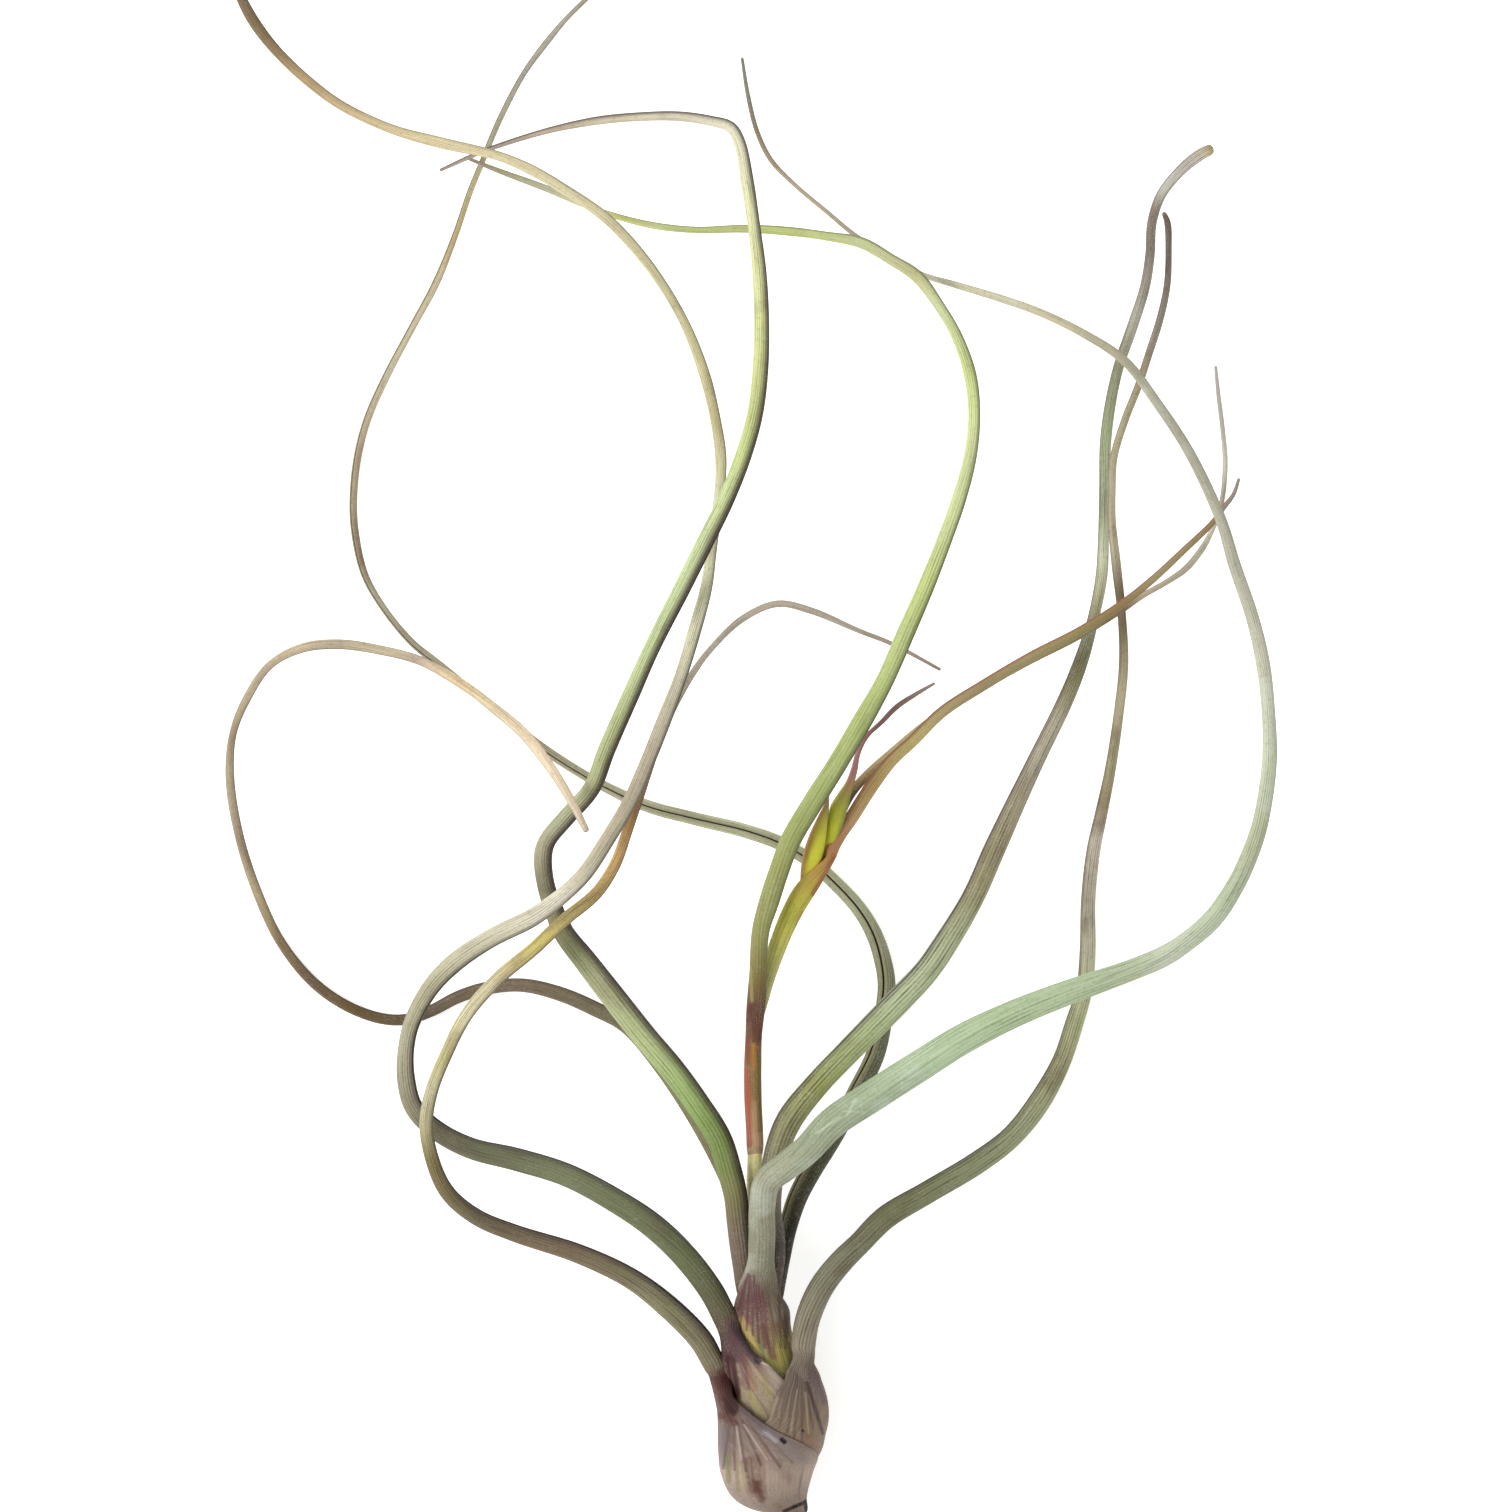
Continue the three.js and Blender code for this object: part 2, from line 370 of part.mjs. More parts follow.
/** A smooth curve through rows of numbers, as many rows about fineStep apart. */
function smoothRows(rows, fineStep) {
  const smooth = [];
  for (let i = 0; i + 1 < rows.length; i += 1) {
    const start = rows[i];
    const end = rows[i + 1];
    const before = rows[i - 1] ?? start.map((value, k) => 2 * value - end[k]);
    const after = rows[i + 2] ?? end.map((value, k) => 2 * value - start[k]);
    const t0 = Math.sqrt(spaced(before, start));
    const t1 = Math.sqrt(spaced(start, end));
    const t2 = Math.sqrt(spaced(end, after));
    const slopeIn = start.map((value, k) => (
      (value - before[k]) / t0 - (end[k] - before[k]) / (t0 + t1) + (end[k] - value) / t1) * t1);
    const slopeOut = end.map((value, k) => (
      (value - start[k]) / t1 - (after[k] - start[k]) / (t1 + t2) + (after[k] - value) / t2) * t1);
    const pieces = Math.max(1, Math.ceil(spaced(start, end) / fineStep));
    for (let piece = 0; piece < pieces; piece += 1) {
      const t = piece / pieces;
      const squared = t * t;
      const cubed = squared * t;
      smooth.push(start.map((value, k) => (2 * cubed - 3 * squared + 1) * value
        + (cubed - 2 * squared + t) * slopeIn[k]
        + (3 * squared - 2 * cubed) * end[k]
        + (cubed - squared) * slopeOut[k]));
    }
  }
  smooth.push(rows.at(-1));
  return smooth;
}

/** Of the rows of a smooth curve, those that its bends and its length call for. */
function keptRows(smooth, stepOf) {
  const kept = [smooth[0]];
  const course = (a, b) => new THREE.Vector3(b[0] - a[0], b[1] - a[1], b[2] - a[2]).normalize();
  let leaving = course(smooth[0], smooth[1]);
  for (let i = 1; i + 1 < smooth.length; i += 1) {
    const run = spaced(kept.at(-1), smooth[i]);
    const heading = course(smooth[i], smooth[i + 1]);
    const turn = leaving.angleTo(heading);
    const left = spaced(smooth[i], smooth.at(-1));
    const change = Math.abs(smooth[i][3] / kept.at(-1)[3] - 1);
    const due = run >= stepOf(smooth[i])
      || turn >= radians(LARGEST_TURN)
      || change >= LARGEST_CHANGE;
    if (left > FINE_STEP && due) {
      kept.push(smooth[i]);
      leaving = heading;
    }
  }
  kept.push(smooth.at(-1));
  return kept;
}

/**
 * The sections of a leaf from its stem to its tip. Each has the middle of its roll, the way that
 * its outer face points, the way that it grows, its radius, its reach and its wall.
 */
function leafSections(leaf, wall) {
  const rows = [];
  for (const [right, up, height, radius, midrib, half] of leaf.sheath ?? []) {
    rows.push([right, up, height, radius, half, wall, 1, midrib]);
  }
  const lastMidrib = rows.length > 0 ? rows.at(-1)[7] : 90;
  for (const [right, up, height, halfWidth] of leaf.blade) {
    rows.push([right, up, height, halfWidth, BLADE_ROLL, 0, 0, lastMidrib]);
  }
  const stepOf = (row) => (row[6] > 0.02 ? SHEATH_STEP : BLADE_STEP);
  const smooth = keptRows(smoothRows(rows, FINE_STEP), stepOf);
  const points = smooth.map(([right, up, height]) => place(right, up, height));
  const sections = [];
  const outward = new THREE.Vector3();
  const bladeStart = smooth.findIndex((row) => row[6] <= 0);
  const turnPerStep = radians(leaf.twist) / (smooth.length - bladeStart);
  smooth.forEach(([, , , radius, half, sheathWall, sheathShare, midrib], i) => {
    const course = points[Math.min(i + 1, points.length - 1)].clone()
      .sub(points[Math.max(i - 1, 0)]).normalize();
    const share = THREE.MathUtils.clamp(sheathShare, 0, 1);
    const along = course.lerp(new THREE.Vector3(0, 1, 0), share).normalize();
    if (i <= bladeStart) {
      outward.set(Math.cos(radians(midrib)), 0, Math.sin(radians(midrib)));
    } else {
      outward.applyAxisAngle(along, turnPerStep);
    }
    outward.addScaledVector(along, -outward.dot(along)).normalize();
    sections.push({
      centre: points[i],
      outward: outward.clone(),
      along,
      radius,
      half: radians(THREE.MathUtils.clamp(half, 20, 172)),
      wall: sheathWall,
      share,
    });
  });
  return sections;
}

/** The outer and the inner edge points of one section. */
function sectionPoints(section, sides) {
  const { centre, outward, along, radius, half, wall, share } = section;
  const side = new THREE.Vector3().crossVectors(along, outward);
  const point = (angle, distance) => centre.clone()
    .addScaledVector(outward, Math.cos(angle) * distance)
    .addScaledVector(side, Math.sin(angle) * distance);
  const fill = 1 - THREE.MathUtils.smoothstep(radius, SOLID_BELOW, 2 * SOLID_BELOW);
  const outer = [];
  for (let k = 0; k < sides.outer; k += 1) {
    outer.push(point(half * (2 * k / (sides.outer - 1) - 1), radius));
  }
  const inner = [];
  for (let k = 0; k < sides.inner; k += 1) {
    const t = k / (sides.inner - 1);
    const lean = Math.abs(1 - 2 * t);
    const angle = half * (1 - 2 * t);
    const sheathRadius = radius - THREE.MathUtils.lerp(wall, MARGIN_WALL, lean);
    const channelRadius = radius * THREE.MathUtils.lerp(CHANNEL_CORE, CHANNEL_LIP, lean);
    const hollow = point(angle, THREE.MathUtils.lerp(channelRadius, sheathRadius, share));
    const closed = Math.PI - half;
    const round = point(half + closed * (0.25 + 1.5 * t), radius);
    inner.push(hollow.lerp(round, fill * (1 - share)));
  }
  return { outer, inner };
}

/** Triangles between two rows of vertices that run side by side. */
function bridge(triangles, near, far) {
  let i = 0;
  let j = 0;
  while (i < near.length - 1 || j < far.length - 1) {
    const nextNear = i < near.length - 1 ? (i + 1) / (near.length - 1) : 2;
    const nextFar = j < far.length - 1 ? (j + 1) / (far.length - 1) : 2;
    if (nextNear <= nextFar) {
      triangles.push(near[i], near[i + 1], far[j]);
      i += 1;
    } else {
      triangles.push(near[i], far[j + 1], far[j]);
      j += 1;
    }
  }
}

/** A closed leaf: its sections joined along its outer face, its inner face and its margins. */
function leafGeometry(leaf, wall, sheathSides, bladeSides) {
  const positions = [];
  const triangles = [];
  const addRow = (points) => points.map((vertex) => positions.push(...vertex.toArray()) / 3 - 1);
  const rings = leafSections(leaf, wall).map((section) => {
    const sides = section.share > 0.02 ? sheathSides : bladeSides;
    const { outer, inner } = sectionPoints(section, sides);
    return { outer: addRow(outer), inner: addRow(inner) };
  });
  for (let i = 0; i + 1 < rings.length; i += 1) {
    const near = rings[i];
    const far = rings[i + 1];
    bridge(triangles, near.outer, far.outer);
    bridge(triangles, [near.outer.at(-1), near.inner[0]], [far.outer.at(-1), far.inner[0]]);
    bridge(triangles, near.inner, far.inner);
    bridge(triangles, [near.inner.at(-1), near.outer[0]], [far.inner.at(-1), far.outer[0]]);
  }
  const first = rings[0];
  const last = rings.at(-1);
  bridge(triangles, [...first.inner].reverse(), first.outer);
  bridge(triangles, last.outer, [...last.inner].reverse());
  return indexedGeometry(positions, triangles);
}

/** A geometry from vertex coordinates and triangles. */
function indexedGeometry(positions, triangles) {
  const geometry = new THREE.BufferGeometry();
  geometry.setAttribute('position', new THREE.Float32BufferAttribute(positions, 3));
  geometry.setIndex(triangles);
  return geometry;
}

/** A closed round piece along rows of right, up, height and radius. */
function roundGeometry(rows, sides, step) {
  const smooth = keptRows(smoothRows(rows, FINE_STEP), () => step);
  const points = smooth.map(([right, up, height]) => place(right, up, height));
  const positions = [];
  const triangles = [];
  const outward = new THREE.Vector3(0, 0, 1);
  points.forEach((centre, i) => {
    const along = points[Math.min(i + 1, points.length - 1)].clone()
      .sub(points[Math.max(i - 1, 0)]).normalize();
    outward.addScaledVector(along, -outward.dot(along)).normalize();
    const side = new THREE.Vector3().crossVectors(along, outward);
    for (let k = 0; k < sides; k += 1) {
      const angle = 2 * Math.PI * k / sides;
      positions.push(...centre.clone()
        .addScaledVector(outward, Math.cos(angle) * smooth[i][3])
        .addScaledVector(side, Math.sin(angle) * smooth[i][3]).toArray());
    }
  });
  for (let i = 0; i + 1 < points.length; i += 1) {
    for (let k = 0; k < sides; k += 1) {
      const next = (k + 1) % sides;
      const near = i * sides;
      const far = near + sides;
      triangles.push(near + k, near + next, far + next, near + k, far + next, far + k);
    }
  }
  const top = (points.length - 1) * sides;
  for (let k = 1; k + 1 < sides; k += 1) {
    triangles.push(0, k + 1, k, top, top + k, top + k + 1);
  }
  return indexedGeometry(positions, triangles);
}

/** The same closed shape as a solid that can be cut. */
function toSolid(geometry) {
  const merged = BufferGeometryUtils.mergeVertices(geometry, 1e-3);
  return new wasm.Manifold(new wasm.Mesh({
    numProp: 3,
    vertProperties: new Float32Array(merged.attributes.position.array),
    triVerts: new Uint32Array(merged.index.array),
  }));
}

/** A solid, back as a geometry. */
function fromSolid(solid) {
  const mesh = solid.getMesh();
  return indexedGeometry(Array.from(mesh.vertProperties), Array.from(mesh.triVerts));
}

/** What is left of a geometry above the surface that the plant lies on. */
function cutFlat(geometry) {
  const depth = 20;
  const ground = new THREE.BoxGeometry(400, 800, depth);
  ground.deleteAttribute('normal');
  ground.deleteAttribute('uv');
  ground.translate(0, 0, -depth / 2);
  return fromSolid(toSolid(geometry).subtract(toSolid(ground)));
}

const plant = new THREE.Group();

/** Adds one named piece to the plant. */
function addPiece(name, geometry, colour, roughness) {
  const material = new THREE.MeshStandardMaterial({ color: colour, roughness, metalness: 0 });
  geometry.computeVertexNormals();
  const mesh = new THREE.Mesh(geometry, material);
  mesh.name = name;
  plant.add(mesh);
}

/** A leaf of the inner nest, with its quarter sheath worked out from its direction. */
function nestedLeaf(leaf) {
  if (leaf.nest === undefined) {
    return leaf;
  }
  const rows = NEST_ROWS.map(([right, up, height, radius, half]) => (
    [right, up, height, radius, leaf.nest, half]));
  const { right, up, height, offset, radius, half } = NEST_ROLL;
  rows.push([
    right + offset * Math.cos(radians(leaf.nest)),
    up,
    height + offset * Math.sin(radians(leaf.nest)),
    radius, leaf.nest, half]);
  return { ...leaf, sheath: rows };
}

for (const [name, leaf] of Object.entries(LEAVES)) {
  const wall = leaf.nest === undefined ? SHEATH_WALL : NEST_WALL;
  const shape = leafGeometry(nestedLeaf(leaf), wall, SHEATH_SIDES, BLADE_SIDES);
  addPiece(name, name === 'leaf_1' ? cutFlat(shape) : shape, COLOURS.leaf, 0.7);
}
for (const [name, bract] of Object.entries(BRACTS)) {
  const shape = leafGeometry(bract, BRACT_WALL, BLADE_SIDES, BRACT_SIDES);
  addPiece(name, shape, COLOURS.bract, 0.6);
}
addPiece('stem', roundGeometry(STEM_ROWS, 12, 2.5), COLOURS.stem, 0.9);
addPiece('flower_stalk', roundGeometry(SCAPE_ROWS, 9, 6), COLOURS.scape, 0.6);
for (const [name, rows] of Object.entries(SPIKES)) {
  addPiece(name, roundGeometry(rows, 10, 2.2), COLOURS.spike, 0.5);
}

export default plant;
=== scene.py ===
"""A picked air plant laid on its back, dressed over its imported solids.

Each leaf, bract and stalk of the frame is replaced by a fine surface of the same course: a sheath
that clasps the bulb and runs on into a rolled, ribbed blade. All lengths in the tables are
millimetres, with right and up measured as the plant is seen from above.
"""

import logging
from abc import ABC, abstractmethod
from dataclasses import dataclass, field
from enum import Enum

import bpy
import numpy as np
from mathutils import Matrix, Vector


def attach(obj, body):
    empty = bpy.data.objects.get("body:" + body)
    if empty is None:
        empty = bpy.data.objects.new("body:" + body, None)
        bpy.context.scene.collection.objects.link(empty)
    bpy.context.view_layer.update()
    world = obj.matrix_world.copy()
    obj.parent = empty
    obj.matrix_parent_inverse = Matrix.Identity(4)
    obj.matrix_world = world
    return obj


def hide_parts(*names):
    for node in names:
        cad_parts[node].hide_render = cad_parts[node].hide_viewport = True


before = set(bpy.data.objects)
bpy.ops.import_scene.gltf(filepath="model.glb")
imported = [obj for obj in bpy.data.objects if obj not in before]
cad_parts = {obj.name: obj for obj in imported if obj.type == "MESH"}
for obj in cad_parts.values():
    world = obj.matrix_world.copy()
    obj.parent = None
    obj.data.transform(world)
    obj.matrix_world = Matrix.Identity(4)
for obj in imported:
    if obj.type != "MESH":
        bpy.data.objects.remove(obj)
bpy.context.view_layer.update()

log = logging.getLogger("air_plant")

MM = 0.001
BODY = "root"

# Where the bulb rests, measured up from the zero of the tables, in millimetres
REST_UP = 0.9

# White light, for the sky and the floor
WHITE = (1.0, 1.0, 1.0, 1.0)

# Colours of the silvery scales and of the shade on the sheaths
SCALE_COLOUR = "dcdace"
SHADE_COLOUR = "4a3f38"

# How strongly the shade, the channel's colour with its painted shade, and the grain show on a leaf
SHADE_SHARE = 0.2
CHANNEL_SHARE = 0.85
GRAIN_SHARE = 0.22

# How far noise shifts a leaf's colours, as a share of its length
STREAK_SHIFT = 0.012

# The sheath's ribs to one of the blade's, and how far noise sways the ribs of each, in radians
SHEATH_RIBS = 3
BLADE_SWAY = 1.4
SHEATH_SWAY = 14.0

# Where between the midrib and a sheath's margin the colour of its rim, with its painted shade, starts
SHEATH_RIM_SHADE_FROM = 0.965

# Heights between which a sheath's marks appear, in millimetres, so that its underside has none
MARKS_FROM = (9.0, 12.0)

# How matt and how glossy a leaf is, how deep its relief is, in metres, and how strongly it shows
LEAF_ROUGHNESS = 0.62
LEAF_GLOSS = 0.22
LEAF_RELIEF = 0.00012
LEAF_RELIEF_SHARE = 0.55

# The gloss of a round piece, the waves to a metre of its relief, and how strongly that shows
ROUND_GLOSS = 0.35
ROUND_WAVES = 1800.0
ROUND_RELIEF_SHARE = 0.5

# Where a leaf thins towards its margin, and where its inner face meets the margin
MARGIN_FROM = 0.955
INNER_MARGIN = 0.985

# The thickness of a sheath's margin, in millimetres
MARGIN_WALL = 0.5

# The depth of a blade's inner face at its midrib, and how much it rises towards the margins
CHANNEL_FLOOR = 0.12
CHANNEL_RISE = 0.68

# The width of a leaf's and of a round piece's end at its very tip, as a share of the full width
LEAF_TIP = 0.12
ROUND_TIP = 0.15

Rows = tuple[tuple[float, ...], ...]
Stops = tuple[tuple[float, str], ...]


def srgb(code: str) -> tuple[float, float, float, float]:
    """The linear colour of a hexadecimal screen colour.

    Args:
        code: six hexadecimal digits.

    Returns:
        Linear red, green, blue and alpha.
    """
    parts = np.array([int(code[i:i + 2], 16) / 255 for i in (0, 2, 4)])
    linear = np.where(parts <= 0.04045, parts / 12.92, ((parts + 0.055) / 1.055) ** 2.4)
    return (float(linear[0]), float(linear[1]), float(linear[2]), 1.0)


def smoothstep(value: np.ndarray, low: float, high: float) -> np.ndarray:
    """A smooth rise from 0 at low to 1 at high: 3 t squared less 2 t cubed."""
    t = np.clip((value - low) / (high - low), 0.0, 1.0)
    return t * t * (3.0 - 2.0 * t)


def unit(vectors: np.ndarray) -> np.ndarray:
    """The same vectors, one to a row, each a unit long."""
    return vectors / np.maximum(np.linalg.norm(vectors, axis=-1, keepdims=True), 1e-9)


def rounded(share: np.ndarray, tip: float) -> np.ndarray:
    """A half round end's width: tip, plus the rest times the root of 1 less (1 - share) squared."""
    return tip + (1 - tip) * np.sqrt(1 - (1 - share) ** 2)


def placed(name: str, data: bpy.types.ID) -> bpy.types.Object:
    """A new object of the scene that shows a mesh, a light or a camera."""
    thing = bpy.data.objects.new(name, data)
    bpy.context.scene.collection.objects.link(thing)
    return thing


@dataclass
class Course:
    """A smooth course through rows of numbers, the first three of them a place.

    Attributes:
        rows: the rows that the course passes through.
        spacing: the distance between two stations.
        fine: the number of leading and of trailing stretches that get closer stations.
        fine_spacing: the distance between two stations there.
        values: the rows' columns at every station.
        reach: how far along the course each station lies, in millimetres.
        row_share: how far along the course each row lies, from 0 to 1.
    """

    rows: np.ndarray
    spacing: float = 1.3
    fine: tuple[int, int] = (0, 1)
    fine_spacing: float = 0.35
    values: np.ndarray = field(init=False)
    row_share: np.ndarray = field(init=False)
    reach: np.ndarray = field(init=False)

    def __post_init__(self) -> None:
        """Works out the stations.

        Between two rows each column follows a cubic whose slopes at both ends come from the rows
        on either side, weighted by the square root of the distances, so that it never loops.
        """
        rows = self.rows
        gaps = np.maximum(np.linalg.norm(np.diff(rows[:, :3], axis=0), axis=1), 1e-4)
        around = np.vstack([2 * rows[0] - rows[1], rows, 2 * rows[-1] - rows[-2]])
        root = np.sqrt(np.concatenate([gaps[:1], gaps, gaps[-1:]]))[:, None]
        before, own, after = root[:-2], root[1:-1], root[2:]
        p0, p1, p2, p3 = around[:-3], around[1:-2], around[2:-1], around[3:]
        slope_in = ((p1 - p0) / before - (p2 - p0) / (before + own) + (p2 - p1) / own) * own
        slope_out = ((p2 - p1) / own - (p3 - p1) / (own + after) + (p3 - p2) / after) * own
        spacing = np.full(len(gaps), self.spacing)
        spacing[:self.fine[0]] = self.fine_spacing
        spacing[len(gaps) - self.fine[1]:] = self.fine_spacing
        pieces = np.maximum(1, np.ceil(gaps / spacing)).astype(int)
        stretch = np.repeat(np.arange(len(gaps)), pieces)
        first = np.repeat(np.cumsum(pieces) - pieces, pieces)
        t = ((np.arange(pieces.sum()) - first) / pieces[stretch])[:, None]
        smooth = ((2 * t**3 - 3 * t**2 + 1) * p1[stretch] + (t**3 - 2 * t**2 + t) * slope_in[stretch]
                  + (3 * t**2 - 2 * t**3) * p2[stretch] + (t**3 - t**2) * slope_out[stretch])
        self.values = np.vstack([smooth, rows[-1:]])
        steps = np.linalg.norm(np.diff(self.values[:, :3], axis=0), axis=1)
        self.reach = np.concatenate([[0.0], np.cumsum(steps)])
        at_row = np.concatenate([np.cumsum(pieces) - pieces, [pieces.sum()]])
        self.row_share = self.reach[at_row] / self.reach[-1]

    def places(self) -> np.ndarray:
        """The stations, in the frame of the part, in millimetres."""
        return self.values[:, :3] - np.array([0.0, REST_UP, 0.0])

    def share_at(self, row: float) -> float:
        """How far along the course a row, or a point between two rows, lies, from 0 to 1."""
        return float(np.interp(row, np.arange(len(self.row_share)), self.row_share))

    def eased(self, values: np.ndarray, width: float) -> np.ndarray:
        """The values at the stations, each averaged with its neighbours by a bell curve.

        Args:
            values: a value at each station.
            width: the bell curve's own width, in millimetres along the course.

        Returns:
            The smoother values.
        """
        weight = np.exp(-0.5 * ((self.reach[:, None] - self.reach[None, :]) / width) ** 2)
        weight = weight * np.gradient(self.reach)[None, :]
        return weight @ values / weight.sum(axis=1)

    def traits(self, turn: np.ndarray) -> dict[str, np.ndarray]:
        """The values along and round the course that every finish reads.

        Args:
            turn: where each point of each ring lies round it, from -1 to 1.

        Returns:
            The share of the course, the distance along it in millimetres, and the turn.
        """
        return {
            "along": (self.reach / self.reach[-1])[:, None] + 0 * turn,
            "reach": self.reach[:, None] + 0 * turn,
            "turn": np.ones((len(self.reach), 1)) * turn,
        }

    def rings(self, ahead: np.ndarray, aside: np.ndarray, angle: np.ndarray,
              radius: np.ndarray) -> np.ndarray:
        """Rings of points round the stations.

        A point is its station, plus the radius times the angle's cosine ahead, plus the radius
        times the angle's sine aside.

        Args:
            ahead: the direction at each station that the angles are counted from.
            aside: the direction a quarter turn further.
            angle: the angle of each point of each ring, in radians.
            radius: its distance from the station, in millimetres.

        Returns:
            Rings by points by three coordinates.
        """
        return (self.places()[:, None, :]
                + ahead[:, None, :] * (np.cos(angle) * radius)[..., None]
                + aside[:, None, :] * (np.sin(angle) * radius)[..., None])

    def frames(self, straight: np.ndarray) -> tuple[np.ndarray, np.ndarray]:
        """The directions at each station.

        Args:
            straight: at each station, from 0 where the section stands square to the course to 1
                where it stands square to the bulb.

        Returns:
            The directions to the course's side and up from it.
        """
        along = unit(np.gradient(self.places(), axis=0))
        along = unit(along * (1 - straight[:, None]) + np.array([0.0, 1.0, 0.0]) * straight[:, None])
        side = unit(np.cross(along, np.array([0.0, 0.0, 1.0])))
        return side, np.cross(side, along)


def closed_grid(name: str, points: np.ndarray, traits: dict[str, np.ndarray]) -> bpy.types.Object:
    """An object of rings of points, joined into a tube that is closed at both ends.

    Four-sided faces join each ring to the next, and a fan of triangles round the mean of the first
    and of the last ring closes the ends.

    Args:
        name: the name of the object.
        points: rings by points by three coordinates, in millimetres.
        traits: values at each point of each ring, kept as attributes of the mesh.

    Returns:
        The new object, which rides on the plant.
    """
    rings, around = points.shape[:2]
    ends = np.stack([points[0].mean(axis=0), points[-1].mean(axis=0)])
    vertices = np.vstack([points.reshape(-1, 3), ends]) * MM
    i, j = np.meshgrid(np.arange(rings - 1), np.arange(around), indexing="ij")
    near, far = i * around, (i + 1) * around
    following = (j + 1) % around
    quads = np.stack([near + j, near + following, far + following, far + j], axis=-1).reshape(-1, 4)
    j = np.arange(around)
    following = (j + 1) % around
    first, last = rings * around, rings * around + 1
    top = (rings - 1) * around
    fans = np.vstack([
        np.stack([np.full(around, first), following, j], axis=-1),
        np.stack([np.full(around, last), top + j, top + following], axis=-1),
    ])
    mesh = bpy.data.meshes.new(name)
    mesh.vertices.add(len(vertices))
    mesh.vertices.foreach_set("co", vertices.astype(np.float32).ravel())
    corners = np.concatenate([quads.ravel(), fans.ravel()]).astype(np.int32)
    starts = np.concatenate([
        np.arange(len(quads)) * 4,
        len(quads) * 4 + np.arange(len(fans)) * 3,
    ]).astype(np.int32)
    mesh.loops.add(len(corners))
    mesh.loops.foreach_set("vertex_index", corners)
    mesh.polygons.add(len(starts))
    mesh.polygons.foreach_set("loop_start", starts)
    mesh.polygons.foreach_set("use_smooth", np.ones(len(starts), dtype=bool))
    mesh.update(calc_edges=True)
    for key, values in traits.items():
        layer = mesh.attributes.new(key, "FLOAT", "POINT")
        ends_of = [values[0].mean(), values[-1].mean()]
        layer.data.foreach_set("value", np.append(values.ravel(), ends_of).astype(np.float32))
    thing = placed(name, mesh)
    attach(thing, BODY)
    return thing


@dataclass(frozen=True)
class Drawn:
    """Noise drawn out along a leaf.

    Attributes:
        along: its waves to a millimetre along the leaf.
        across: its waves between the midrib and a margin.
        shift: sets it apart from the leaf's other noises.
        detail: how many times finer waves are laid over it.
    """

    along: float
    across: float
    shift: float
    detail: float


@dataclass(frozen=True)
class Spread:
    """Even noise through the whole part, and the values between which it comes to show.

    Attributes:
        waves: its waves to a metre.
        detail: how many times finer waves are laid over it.
        low: the value at which it starts to show.
        high: the value from which it shows in full.
    """

    waves: float
    detail: float
    low: float
    high: float


# A leaf's drawn-out noises: the wander of its ribs, long streaks, uneven pleats and fine fibres
WANDER = Drawn(0.04, 1.0, 5.0, 1.0)
STREAKS = Drawn(0.05, 6.0, 0.0, 4.0)
UNEVEN = Drawn(0.12, 5.0, 3.0, 2.0)
FIBRES = Drawn(0.09, 17.0, 9.0, 2.0)

# Its even noises: stains, shade on the sheath, patches of scales, dark grain and single scales
STAINS = Spread(95.0, 4.0, 0.54, 0.72)
SHADE = Spread(170.0, 3.0, 0.35, 0.7)
PATCHES = Spread(260.0, 3.0, 0.3, 0.7)
GRAIN = Spread(1500.0, 2.0, 0.5, 0.75)
SCALES = Spread(3100.0, 3.0, 0.46, 0.72)

# Waves to a metre, and detail, of the noise that breaks the outlines of marks
BREAKING = (900.0, 3.0)


